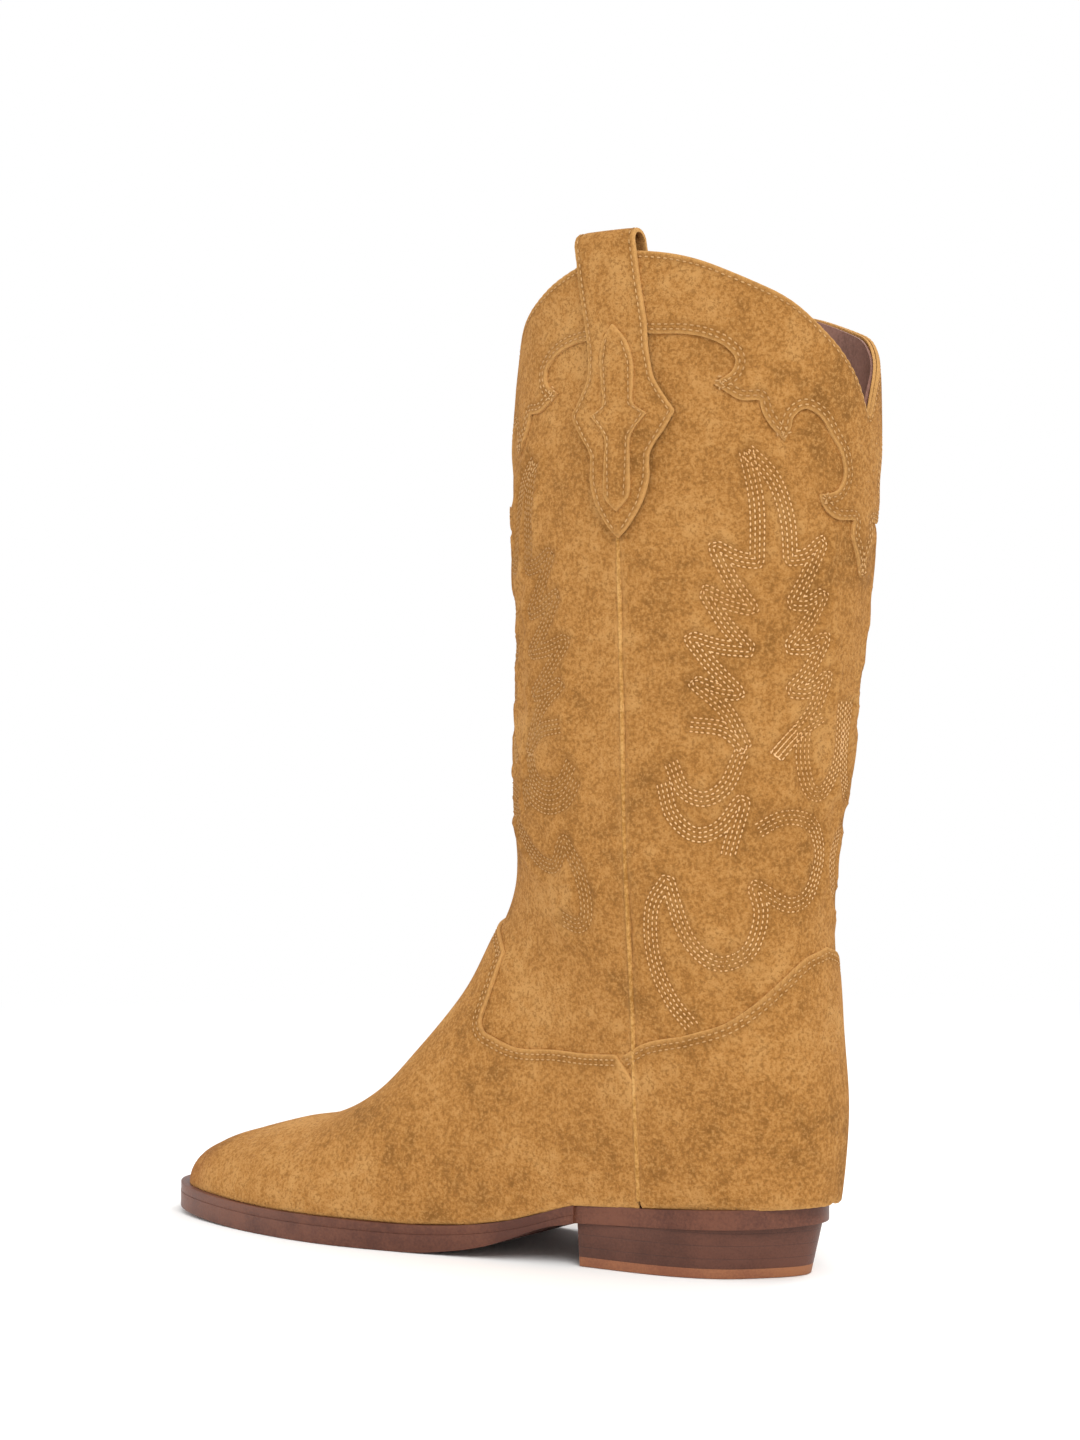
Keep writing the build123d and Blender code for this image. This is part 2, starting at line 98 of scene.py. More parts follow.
@dataclass
class Last:
    """The outer surface of the boot's panels, as a map from (turn, station) to a place.

    Turn is in degrees: 0 at the front, 90 at the outer side, 180 at the back and 270 at the
    inner side. Station is in millimetres: the height in the shaft, and below it a count
    that runs down the ankle and along the foot to the toe. Lengths are millimetres.
    """

    toe: tuple = ((-244.2, 12.75, 0.8), (-243.4, 14.9, 4.8), (-241.5, 17.0, 9),
                  (-237, 22, 15.5), (-227, 27.5, 22.5), (-210, 33, 29.5),
                  (-190, 38.5, 35.5), (-170, 42.5, 39.5), (-152, 50.5, 41), (-137, 61, 40.5))
    fan: tuple = ((0, 100.5, 228, 39.5), (13, 80.5, 234, 36.5), (26, 65.5, 241, 34),
                  (37, 57.5, 243, 33.5), (45, 53, 229, 35), (53, 48.5, 208.5, 37),
                  (62, 44, 186, 39.2), (72, 40.8, 170.2, 41.2), (90, 38.8, 168, 42.8))
    shaft: tuple = ((200, -84.5, 47.2, 43.5), (228, -83.8, 50, 44.7), (256, -84.6, 52.6, 46),
                    (284, -84.4, 54.2, 46.6), (312, -82.2, 54.4, 46.4), (342, -79.5, 54, 46.2),
                    (378, -78.5, 53.5, 46))
    pivot: tuple = (-124.0, 175.0)
    roundness: float = 2.12
    seam_x: float = -18.0
    bottom: tuple = ((-260, 12.35), (-225, 10.8), (-180, 9.8), (-112, 10.0), (-88, 11.6),
                     (-70, 14.7), (-44, 22), (0, 23.8), (50, 25.6))
    step: float = 0.75
    grid: Points = field(init=False, repr=False)
    stations: Points = field(init=False, repr=False)

    def __post_init__(self) -> None:
        """Work the surface out once, on a fine grid."""
        turn = np.radians(np.arange(0, 361))
        c, s = np.cos(turn), np.sin(turn)
        near = -np.sign(c) * np.abs(c) ** (2 / self.roundness)
        out = -np.sign(s) * np.abs(s) ** (2 / self.roundness)
        rows, rings = [], []

        def add(station: float, middle: Any, along: Any, half: float, wide: float) -> None:
            """Adds the ring at one station."""
            ring = np.array(middle)[None] + np.outer(near * half, along)
            ring[:, 1] += out * wide
            rows.append(station)
            rings.append(ring.ravel())

        for x, top, wide in self.toe:
            base = self.seat(np.array([float(x)]))[0]
            add(x + 164, (x, self.bend(x), base), (0, 0, -1), top - base, wide)
        px, pz = self.pivot
        for angle, inner, outer, wide in self.fan:
            a = math.radians(angle)
            along = np.array((math.sin(a), 0, -math.cos(a)))
            low = self.bend(px) * (1 - angle / 90) ** 2
            middle = np.array((px, low, pz)) + along * (inner + outer) / 2
            add(40 + 1.5 * angle, middle, along, (outer - inner) / 2, wide)
        for z, front, back, wide in self.shaft:
            add(z, ((front + back) / 2, 0, z), (1, 0, 0), (back - front) / 2, wide)
        table = np.column_stack([np.array(rows, float), np.array(rings)])
        self.stations = np.arange(rows[0], rows[-1] + self.step, self.step)
        self.grid = over(table, self.stations).reshape(len(self.stations), 361, 3)

    def bend(self, x: float) -> float:
        """Sideways bend of the foot's middle line at x."""
        return 7.0 * max(0.0, (-60 - x) / 192) ** 2

    def seat(self, x: Points) -> Points:
        """Height of the line where the upper meets the welt.

        Args:
            x: places along the boot.

        Returns:
            The height at each.
        """
        table = np.array(self.bottom)
        return np.interp(x, table[:, 0], table[:, 1])

    def base(self, uv: Points) -> Points:
        """Places on the surface itself.

        Args:
            uv: turn and station of each point.

        Returns:
            One place in millimetres for each point.
        """
        u = np.mod(uv[:, 0], 360)
        v = np.clip((uv[:, 1] - self.stations[0]) / self.step, 0, len(self.stations) - 1.001)
        i, j = np.floor(u).astype(int), np.floor(v).astype(int)
        i = np.clip(i, 0, 359)
        fu, fv = (u - i)[:, None], (v - j)[:, None]
        g = self.grid
        return ((1 - fv) * ((1 - fu) * g[j, i] + fu * g[j, i + 1])
                + fv * ((1 - fu) * g[j + 1, i] + fu * g[j + 1, i + 1]))

    def normal(self, uv: Points) -> Points:
        """Outward directions of length one.

        Args:
            uv: turn and station of each point.

        Returns:
            One direction for each point.
        """
        du, dv = np.array((1.5, 0.0)), np.array((0.0, 1.5))
        a = self.base(uv + du) - self.base(uv - du)
        b = self.base(uv + dv) - self.base(uv - dv)
        n = np.cross(a, b)
        return n / np.maximum(np.linalg.norm(n, axis=1, keepdims=True), 1e-9)

    def place(self, uv: Points, lift: Points) -> Points:
        """Places at a height above the surface."""
        return self.base(uv) + self.normal(uv) * np.asarray(lift).reshape(-1, 1)


class Surface(Protocol):
    """Anything a piece of leather can lie on, by two numbers and a height."""

    def place(self, uv: Points, lift: Points) -> Points:
        """Places at a height above the surface."""

    def normal(self, uv: Points) -> Points:
        """Outward directions of length one."""


@dataclass
class StrapWay:
    """The way of a pull strap: up the outside, over the rim in a loop, down the inside.

    The first number is the distance across the strap, the second runs along it and is the
    height while the strap lies on the outside. Lengths are millimetres.
    """

    last: Last
    inner: bool
    rim: float
    stand: float = 1.5
    loop: float = 3.5
    loop_height: float = 3.3
    drift: tuple = ((250, 1.0), (300, 2.3), (316, 1.6), (331, 0.0), (345, -2.6), (364, -5.4))
    inside_end: float = 40.0

    @property
    def turn_at(self) -> float:
        """Station where the loop begins."""
        return self.rim + self.loop_height

    @property
    def end(self) -> float:
        """Station of the strap's inner end."""
        return self.turn_at + math.pi * self.loop + self.loop_height + self.inside_end

    def place(self, uv: Points, lift: Points) -> Points:
        """Places at a height above the strap's underside.

        Args:
            uv: distance across and distance along, of each point.
            lift: height of each point.

        Returns:
            One place in millimetres for each point.
        """
        w, s = uv[:, 0], uv[:, 1]
        arc = np.clip((s - self.turn_at) / self.loop, 0, math.pi)
        down = np.maximum(0.0, s - self.turn_at - math.pi * self.loop)
        z = np.minimum(s, self.turn_at) + self.loop * np.sin(arc) - down
        settle = np.clip((down - 8) / 14, 0, 1)
        inward = self.loop * (1 - np.cos(arc)) - 2.2 * settle * settle * (3 - 2 * settle)
        x = self.last.seam_x + w + np.interp(z, *np.array(self.drift, float).T)
        table = np.array(self.last.shaft, float)
        front, back, half = over(table, np.minimum(z, self.rim - 4)).T
        a, e = (back - front) / 2, self.last.roundness
        t = (x - (front + back) / 2) / a
        y = half * (1 - np.abs(t) ** e) ** (1 / e)
        out = np.column_stack([np.sign(t) * np.abs(t) ** (e - 1) / a, (y / half) ** (e - 1) / half])
        out /= np.linalg.norm(out, axis=1, keepdims=True)
        far = self.stand - inward + np.asarray(lift) * np.cos(arc)
        side = 1.0 if self.inner else -1.0
        return np.column_stack([x + out[:, 0] * far, side * (y + out[:, 1] * far),
                                z + np.asarray(lift) * np.sin(arc)])

    def normal(self, uv: Points) -> Points:
        """Directions away from the strap's underside."""
        n = self.place(uv, np.full(len(uv), 1.0)) - self.place(uv, np.zeros(len(uv)))
        return n / np.linalg.norm(n, axis=1, keepdims=True)


# ---- lines on a surface ------------------------------------------------------------
def smooth(run: Run, share: int = 10) -> Points:
    """Smooth line through a run of points.

    Args:
        run: the points to go through.
        share: pieces between two points.

    Returns:
        The points of the line.
    """
    p = np.array(run, float)
    if len(p) < 3:
        return np.linspace(p[0], p[-1], share + 1)
    at = np.concatenate([[0], np.cumsum(np.linalg.norm(np.diff(p, axis=0), axis=1) ** 0.75)])
    fine = np.concatenate([np.linspace(a, b, share, endpoint=False) for a, b in zip(at, at[1:])]
                          + [at[-1:]])
    return over(np.column_stack([at, p]), fine)


def joined(runs: Sequence[Run]) -> Points:
    """Line of smooth runs that meet in corners.

    Args:
        runs: the runs in order; each begins where the last ended.

    Returns:
        The points of the whole line.
    """
    parts = [smooth(run) for run in runs]
    return np.vstack([part[:-1] for part in parts[:-1]] + [parts[-1]])


def spaced(surface: Surface, line: Points, gap: float, closed: bool = False) -> Points:
    """The line with its points at an even spacing, measured on the surface.

    Args:
        surface: what the line lies on.
        line: the line's points.
        gap: wanted spacing in millimetres.
        closed: the line returns to its first point.

    Returns:
        The new points, without a repeated last one if closed.
    """
    p = np.vstack([line, line[:1]]) if closed else line
    fine = np.vstack([np.linspace(a, b, 6, endpoint=False) for a, b in zip(p, p[1:])] + [p[-1:]])
    xyz = surface.place(fine, np.zeros(len(fine)))
    run = np.concatenate([[0], np.cumsum(np.linalg.norm(np.diff(xyz, axis=0), axis=1))])
    count = max(2, round(run[-1] / gap))
    at = np.linspace(0, run[-1], count + 1)
    if closed:
        at = at[:-1]
    return np.column_stack([np.interp(at, run, fine[:, k]) for k in (0, 1)])


def moved(surface: Surface, line: Points, distance: float, closed: bool = False) -> Points:
    """The line moved sideways along the surface by a distance in millimetres.

    Args:
        surface: what the line lies on.
        line: the line's points.
        distance: how far; to the left of the line, seen from outside, is positive.
        closed: the line returns to its first point.

    Returns:
        The moved points.
    """
    flat = np.zeros(len(line))
    here = surface.place(line, flat)
    if closed:
        along = np.roll(here, -1, 0) - np.roll(here, 1, 0)
    else:
        along = np.gradient(here, axis=0)
    side = np.cross(surface.normal(line), along)
    side *= distance / np.maximum(np.linalg.norm(side, axis=1, keepdims=True), 1e-9)
    a = (surface.place(line + (0.5, 0), flat) - surface.place(line - (0.5, 0), flat))
    b = (surface.place(line + (0, 0.5), flat) - surface.place(line - (0, 0.5), flat))
    aa, ab, bb = (a * a).sum(1), (a * b).sum(1), (b * b).sum(1)
    pa, pb = (a * side).sum(1), (b * side).sum(1)
    det = np.maximum(aa * bb - ab * ab, 1e-6)
    return line + np.column_stack([(pa * bb - pb * ab) / det, (pb * aa - pa * ab) / det])


def holds(outline: Points, points: Points) -> Points:
    """Which points lie inside a closed outline.

    Args:
        outline: corners of the outline.
        points: the points to test.

    Returns:
        True for each point inside.
    """
    x, y = points[:, 0], points[:, 1]
    inside = np.zeros(len(points), bool)
    for (x0, y0), (x1, y1) in zip(outline, np.roll(outline, -1, 0)):
        if y0 != y1:
            cross = (y0 > y) != (y1 > y)
            inside ^= cross & (x < (x1 - x0) * (y - y0) / (y1 - y0) + x0)
    return inside


def reach(points: Points, lines: Sequence[Points]) -> Points:
    """Distance from each place to the nearest place of some lines.

    Args:
        points: places to measure from.
        lines: places of each line.

    Returns:
        The distance for each place, or 1000 if there is no line.
    """
    places = [p for line in lines for p in line]
    if not places:
        return np.full(len(points), 1e3)
    tree = kdtree.KDTree(len(places))
    for i, p in enumerate(places):
        tree.insert(p, i)
    tree.balance()
    return np.array([tree.find(p)[2] for p in points])


def waves(places: Points, depth: float) -> Points:
    """Soft unevenness of worn leather at some places, in millimetres.

    Args:
        places: where the leather lies.
        depth: greatest height of the unevenness.

    Returns:
        A height for each place.
    """
    if not depth:
        return np.zeros(len(places))
    return depth * np.array([noise.noise(Vector(p) / 26) for p in places])


# ---- meshes ------------------------------------------------------------------------
def new_piece(name: str, points: Points, faces: Sequence[Sequence[int]],
              material: Material, crease: float = 50.0,
              shares: dict[str, Points] | None = None) -> Piece:
    """Puts a mesh into the scene.

    Args:
        name: the piece's name.
        points: vertices in millimetres.
        faces: vertex numbers of each face.
        material: the piece's finish.
        crease: edges sharper than this angle stay sharp, in degrees.
        shares: values from 0 to 1 at each vertex, by name.

    Returns:
        The object.
    """
    mesh = bpy.data.meshes.new(name)
    mesh.from_pydata((np.asarray(points) * MM).tolist(), [], [list(map(int, f)) for f in faces])
    mesh.update()
    for key, values in (shares or {}).items():
        mesh.attributes.new(key, "FLOAT", "POINT").data.foreach_set("value", np.asarray(values, "f"))
    mesh.shade_smooth()
    mesh.set_sharp_from_angle(angle=math.radians(crease))
    mesh.materials.append(material)
    piece = bpy.data.objects.new(name, mesh)
    bpy.context.collection.objects.link(piece)
    log.info("%s: %d faces", name, len(mesh.polygons))
    return piece


@dataclass
class Sheet:
    """A cut piece of leather with rounded edges and sunk stitch rows. Millimetres."""

    name: str
    surface: Surface
    outline: Points
    lift: float
    thickness: float
    rows: list = field(default_factory=list)
    pitch: float = 1.6
    tall_pitch: float = 1.6
    sink: float = 0.42
    puff: float = 0.0
    sag: float = 0.0
    rounding: float = 0.7

    def build(self, material: Material) -> Piece:
        """Makes the piece.

        Args:
            material: the leather's finish.

        Returns:
            The object, a closed mesh.
        """
        surface = self.surface
        edge = spaced(surface, self.outline, 1.1, closed=True)
        inset = moved(surface, edge, 0.55, closed=True)
        if holds(edge, inset).mean() < 0.5:
            inset = moved(surface, edge, -0.55, closed=True)
        edge_fine = spaced(surface, edge, 0.3, closed=True)
        edge_xyz = surface.place(edge_fine, np.zeros(len(edge_fine)))
        inset = inset[holds(edge, inset)]
        inset_xyz = surface.place(inset, np.zeros(len(inset)))
        inset = inset[reach(inset_xyz, [edge_xyz]) > 0.42]
        row_lines = [spaced(surface, row, 0.45) for row in self.rows]
        row_xyz = [surface.place(r, np.zeros(len(r))) for r in row_lines]
        beside = [moved(surface, spaced(surface, row, 1.1), d) for row in self.rows
                  for d in (-0.9, 0.0, 0.9)]
        beside = np.vstack(beside) if beside else np.zeros((0, 2))
        low, high = edge.min(0), edge.max(0)
        across = np.arange(low[0], high[0], self.pitch)
        up = np.arange(low[1], high[1], self.tall_pitch)
        uu, vv = np.meshgrid(across, up)
        uu = uu + np.where(np.arange(len(up)) % 2, self.pitch / 2, 0)[:, None]
        grid = np.column_stack([uu.ravel(), vv.ravel()])
        grid = grid[holds(edge, grid)]
        grid_xyz = surface.place(grid, np.zeros(len(grid)))
        clear = (reach(grid_xyz, [edge_xyz]) > 1.1) & (reach(grid_xyz, row_xyz) > 1.5)
        grid = grid[clear]
        if len(beside):
            beside = beside[holds(edge, beside)]
            xyz = surface.place(beside, np.zeros(len(beside)))
            beside = beside[reach(xyz, [edge_xyz]) > 1.0]
        points = np.vstack([edge, inset, beside, grid])
        ring = list(range(len(edge)))
        flat, _, tris, *_ = delaunay_2d_cdt([Vector(p) for p in points], [], [ring], 1, 1e-4)
        uv = np.array([tuple(p) for p in flat])
        return self.thicken(uv, [tuple(t) for t in tris], edge_xyz, row_xyz, material)

    def thicken(self, uv: Points, tris: list, edge_xyz: Points, row_xyz: list,
                material: Material) -> Piece:
        """Gives the flat net of triangles its place, its relief and its thickness.

        Args:
            uv: the net's points on the surface.
            tris: the net's triangles.
            edge_xyz: places along the edge.
            row_xyz: places along each stitch row.
            material: the leather's finish.

        Returns:
            The object.
        """
        zero = np.zeros(len(uv))
        base = self.surface.place(uv, zero)
        to_edge = reach(base, [edge_xyz])
        to_row = reach(base, row_xyz)
        curl = 1 - np.clip(to_edge / self.rounding, 0, 1)
        top = self.thickness * (1 - 0.5 * (1 - np.sqrt(1 - curl**2)))
        top -= self.sink * np.exp(-((to_row / 0.8) ** 2))
        calm = np.clip(to_edge / 4, 0, 1)
        top += self.puff * calm * np.exp(-(((to_row - 3.2) / 2.2) ** 2))
        shift = waves(base, self.sag)
        high = self.surface.place(uv, self.lift + top + shift)
        low = self.surface.place(uv, self.lift + shift)
        used: dict[tuple[int, int], int] = {}
        for t in tris:
            for a, b in zip(t, t[1:] + t[:1]):
                used[(a, b)] = used.get((a, b), 0) + 1
        rim = [(a, b) for a, b in used if (b, a) not in used]
        n = len(uv)
        faces = [t for t in tris] + [tuple(i + n for i in reversed(t)) for t in tris]
        faces += [(b, a, a + n, b + n) for a, b in rim]
        a, b, c = (high[[t[k] for t in tris]] for k in range(3))
        out = self.surface.normal(uv[[t[0] for t in tris]])
        if (np.cross(b - a, c - a) * out).sum() < 0:
            faces = [tuple(reversed(f)) for f in faces]
        edge_share = np.exp(-to_edge / 0.55)
        # sewn is nearness to a stitch row; the suede uses it for painted shade in the grooves, with
        # some burnish.
        shares = {"cut_edge": np.concatenate([edge_share, edge_share]),
                  "sewn": np.concatenate([np.exp(-((to_row / 1.0) ** 2))] * 2)}
        return new_piece(self.name, np.vstack([high, low]), faces, material, 62, shares)


# ---- colours and finishes ------------------------------------------------------------
def linear(code: str) -> tuple[float, float, float, float]:
    """Linear colour of an sRGB hex code.

    Args:
        code: colour as #RRGGBB.

    Returns:
        Red, green, blue and a full alpha.
    """
    parts = [int(code[i:i + 2], 16) / 255 for i in (1, 3, 5)]
    return tuple(c / 12.92 if c <= 0.04045 else ((c + 0.055) / 1.055) ** 2.4 for c in parts) + (1.0,)


def per_mm(size: float) -> float:
    """Noise scale that gives features of a size in millimetres."""
    return 1.0 / (size * MM)


def add_node(tree: Tree, kind: str, inputs: dict | None = None,
             **settings: Any) -> bpy.types.Node:
    """Adds a node.

    Args:
        tree: where the node goes.
        kind: the node's type.
        inputs: values or output sockets, by the input's name or number.
        settings: the node's own properties.

    Returns:
        The node.
    """
    node = tree.nodes.new(kind)
    for key, value in settings.items():
        setattr(node, key, value)
    for key, value in (inputs or {}).items():
        socket = node.inputs[key]
        if isinstance(value, Socket):
            tree.links.new(value, socket)
        else:
            socket.default_value = value
    return node


def mix_colour(tree: Tree, share: Value, a: Value, b: Value) -> Socket:
    """Colour between a and b.

    Args:
        tree: where the node goes.
        share: how much of b, from 0 to 1.
        a: first colour.
        b: second colour.

    Returns:
        The colour's socket.
    """
    node = add_node(tree, "ShaderNodeMix", {0: share, 6: a, 7: b}, data_type="RGBA")
    return node.outputs[2]


def reckon(tree: Tree, how: str, a: Value, b: Value = 0.0) -> Socket:
    """Result of one sum."""
    return add_node(tree, "ShaderNodeMath", {0: a, 1: b}, operation=how).outputs[0]


def speckle(tree: Tree, place: Socket, size: float, detail: float = 2.0,
            rough: float = 0.55) -> Socket:
    """Noise value with features of a size in millimetres.

    Args:
        tree: where the node goes.
        place: coordinates in metres.
        size: size of a feature in millimetres.
        detail: octaves of finer noise.
        rough: strength of the finer noise.

    Returns:
        The value's socket.
    """
    return add_node(tree, "ShaderNodeTexNoise", {"Vector": place, "Scale": per_mm(size),
                    "Detail": detail, "Roughness": rough}).outputs["Fac"]


def ranged(tree: Tree, value: Value, low: float, high: float) -> Socket:
    """The value taken from low..high to 0..1, smoothly."""
    return add_node(tree, "ShaderNodeMapRange", {0: value, 1: low, 2: high},
                    interpolation_type="SMOOTHSTEP").outputs[0]


def blank(name: str) -> tuple[Material, Tree, bpy.types.Node, Socket]:
    """New material with its tree, shader and object coordinates.

    Args:
        name: the material's name.

    Returns:
        The material, its tree, its shader and the coordinates' socket.
    """
    material = bpy.data.materials.new(name)
    material.use_nodes = True
    tree = material.node_tree
    shader = next(n for n in tree.nodes if n.type == "BSDF_PRINCIPLED")
    place = add_node(tree, "ShaderNodeTexCoord").outputs["Object"]
    return material, tree, shader, place


@dataclass(frozen=True)
class Suede:
    """Brushed split cowhide: dull, warm, with patches where the nap lies another way."""

    name: str
    nap: str = "#A6733A"
    light: str = "#BA8A50"
    dark: str = "#7E5426"
    edge: str = "#CF9E60"
    toe: str = "#7E4526"
    burnish: bool = False

    def build(self) -> Material:
        """Makes the material."""
        material, tree, shader, place = blank(self.name)
        patch = speckle(tree, place, 34.0, 3.0, 0.6)
        mottle = speckle(tree, place, 5.0, 4.0, 0.65)
        # Single fibres are 0.05 mm; they are drawn at 1.3 mm so that they show.
        fibre = speckle(tree, place, 1.3, 4.0, 0.75)
        tone = reckon(tree, "ADD", reckon(tree, "MULTIPLY", patch, 0.58),
                      reckon(tree, "MULTIPLY", mottle, 0.42))
        colour = mix_colour(tree, ranged(tree, tone, 0.32, 0.52), linear(self.dark), linear(self.nap))
        colour = mix_colour(tree, ranged(tree, tone, 0.48, 0.66), colour, linear(self.light))
        grain = ranged(tree, fibre, 0.5, 0.6)
        pit = ranged(tree, fibre, 0.5, 0.4)
        colour = mix_colour(tree, reckon(tree, "MULTIPLY", grain, 0.6), colour, linear(self.light))
        colour = mix_colour(tree, reckon(tree, "MULTIPLY", pit, 0.62), colour, linear(self.dark))
        if self.burnish:
            x = add_node(tree, "ShaderNodeSeparateXYZ", {0: place}).outputs[0]
            rubbed = ranged(tree, reckon(tree, "ADD", x, reckon(tree, "MULTIPLY", mottle, 0.02)),
                            -0.203, -0.236)
            colour = mix_colour(tree, reckon(tree, "MULTIPLY", rubbed, 0.6), colour, linear(self.toe))
        # Darker along stitch rows: painted shade in the sunk stitch grooves, together with some
        # burnish from the sewing.
        sewn = add_node(tree, "ShaderNodeAttribute", attribute_name="sewn").outputs["Fac"]
        colour = mix_colour(tree, reckon(tree, "MULTIPLY", sewn, 0.5), colour, linear(self.dark))
        cut = add_node(tree, "ShaderNodeAttribute", attribute_name="cut_edge").outputs["Fac"]
        colour = mix_colour(tree, reckon(tree, "MULTIPLY", cut, 0.8), colour, linear(self.edge))
        tree.links.new(colour, shader.inputs["Base Color"])
        height = reckon(tree, "ADD", reckon(tree, "MULTIPLY", fibre, 0.6),
                        reckon(tree, "MULTIPLY", mottle, 0.8))
        bump = add_node(tree, "ShaderNodeBump", {"Strength": 0.9, "Distance": 0.0013,
                                                 "Height": height})
        tree.links.new(bump.outputs[0], shader.inputs["Normal"])
        rough = add_node(tree, "ShaderNodeMapRange", {0: fibre, 3: 0.86, 4: 1.0}).outputs[0]
        tree.links.new(rough, shader.inputs["Roughness"])
        shader.inputs["Specular IOR Level"].default_value = 0.12
        shader.inputs["Sheen Weight"].default_value = 0.22
        shader.inputs["Sheen Roughness"].default_value = 0.5
        shader.inputs["Sheen Tint"].default_value = linear(self.light)
        return material


@dataclass(frozen=True)
class Leather:
    """Smooth or waxed leather, and what else has an even grain."""

    name: str
    main: str
    worn: str
    grain: float = 1.4
    rough: float = 0.5
    layer: float = 0.0
    relief: float = 0.0003
    coat: float = 0.0
    metal: float = 0.0

    def build(self) -> Material:
        """Makes the material."""
        material, tree, shader, place = blank(self.name)
        cloud = speckle(tree, place, 22.0, 3.0)
        fine = speckle(tree, place, self.grain, 3.0, 0.6)
        tone = reckon(tree, "ADD", reckon(tree, "MULTIPLY", cloud, 0.65),
                      reckon(tree, "MULTIPLY", fine, 0.35))
        colour = mix_colour(tree, ranged(tree, tone, 0.36, 0.66), linear(self.main), linear(self.worn))
        height = fine
        if self.layer:
            z = add_node(tree, "ShaderNodeSeparateXYZ", {0: place}).outputs[2]
            step = reckon(tree, "FRACT", reckon(tree, "DIVIDE", z, self.layer * MM))
            line = ranged(tree, reckon(tree, "ABSOLUTE", reckon(tree, "SUBTRACT", step, 0.5)),
                          0.06, 0.0)
            colour = mix_colour(tree, reckon(tree, "MULTIPLY", line, 0.35), colour, linear("#2E1C16"))
            streak = add_node(tree, "ShaderNodeMapping", {0: place, "Scale": (0.12, 0.12, 1.0)})
            bands = speckle(tree, streak.outputs[0], 0.9, 3.0)
            colour = mix_colour(tree, reckon(tree, "MULTIPLY", bands, 0.35), colour, linear(self.worn))
            height = reckon(tree, "SUBTRACT", height, line)
        tree.links.new(colour, shader.inputs["Base Color"])
        bump = add_node(tree, "ShaderNodeBump", {"Strength": 0.4, "Distance": self.relief,
                                                 "Height": height})
        tree.links.new(bump.outputs[0], shader.inputs["Normal"])
        spread = add_node(tree, "ShaderNodeMapRange", {0: tone, 3: self.rough - 0.1,
                                                       4: self.rough + 0.12}).outputs[0]
        tree.links.new(spread, shader.inputs["Roughness"])
        shader.inputs["Metallic"].default_value = self.metal
        shader.inputs["Specular IOR Level"].default_value = 0.5 if self.metal else 0.3
        shader.inputs["Coat Weight"].default_value = self.coat
        return material


# ---- stitches --------------------------------------------------------------------------
def stitch_tree() -> Tree:
    """Geometry Nodes tree that lays one thread loop on each point.

    Returns:
        The tree, with its sizes and its thread as inputs.
    """
    tree = bpy.data.node_groups.new("thread_loops", "GeometryNodeTree")
    face = tree.interface
    face.new_socket("Geometry", in_out="INPUT", socket_type="NodeSocketGeometry")
    for name, value in (("Length", 2.1), ("Width", 0.62), ("Height", 0.42)):
        face.new_socket(name, in_out="INPUT", socket_type="NodeSocketFloat").default_value = value * MM
    face.new_socket("Thread", in_out="INPUT", socket_type="NodeSocketMaterial")
    face.new_socket("Geometry", in_out="OUTPUT", socket_type="NodeSocketGeometry")
    given = add_node(tree, "NodeGroupInput").outputs
    size = add_node(tree, "ShaderNodeCombineXYZ", {0: given["Length"], 1: given["Width"],
                                                   2: given["Height"]}).outputs[0]
    bead = add_node(tree, "GeometryNodeMeshUVSphere", {"Segments": 6, "Rings": 4, "Radius": 0.5})
    shape = add_node(tree, "GeometryNodeTransform", {"Geometry": bead.outputs["Mesh"], "Scale": size})
    along = add_node(tree, "GeometryNodeInputNamedAttribute", {0: "along"}, data_type="FLOAT_VECTOR")
    out = add_node(tree, "GeometryNodeInputNamedAttribute", {0: "out"}, data_type="FLOAT_VECTOR")
    turn = add_node(tree, "FunctionNodeAxesToRotation", {0: along.outputs[0], 1: out.outputs[0]},
                    primary_axis="X", secondary_axis="Z")
    laid = add_node(tree, "GeometryNodeInstanceOnPoints",
                    {"Points": given["Geometry"], "Instance": shape.outputs[0],
                     "Rotation": turn.outputs[0]})
    real = add_node(tree, "GeometryNodeRealizeInstances", {0: laid.outputs[0]})
    dyed = add_node(tree, "GeometryNodeSetMaterial", {0: real.outputs[0], "Material": given["Thread"]})
    add_node(tree, "NodeGroupOutput", {0: dyed.outputs[0]})
    return tree


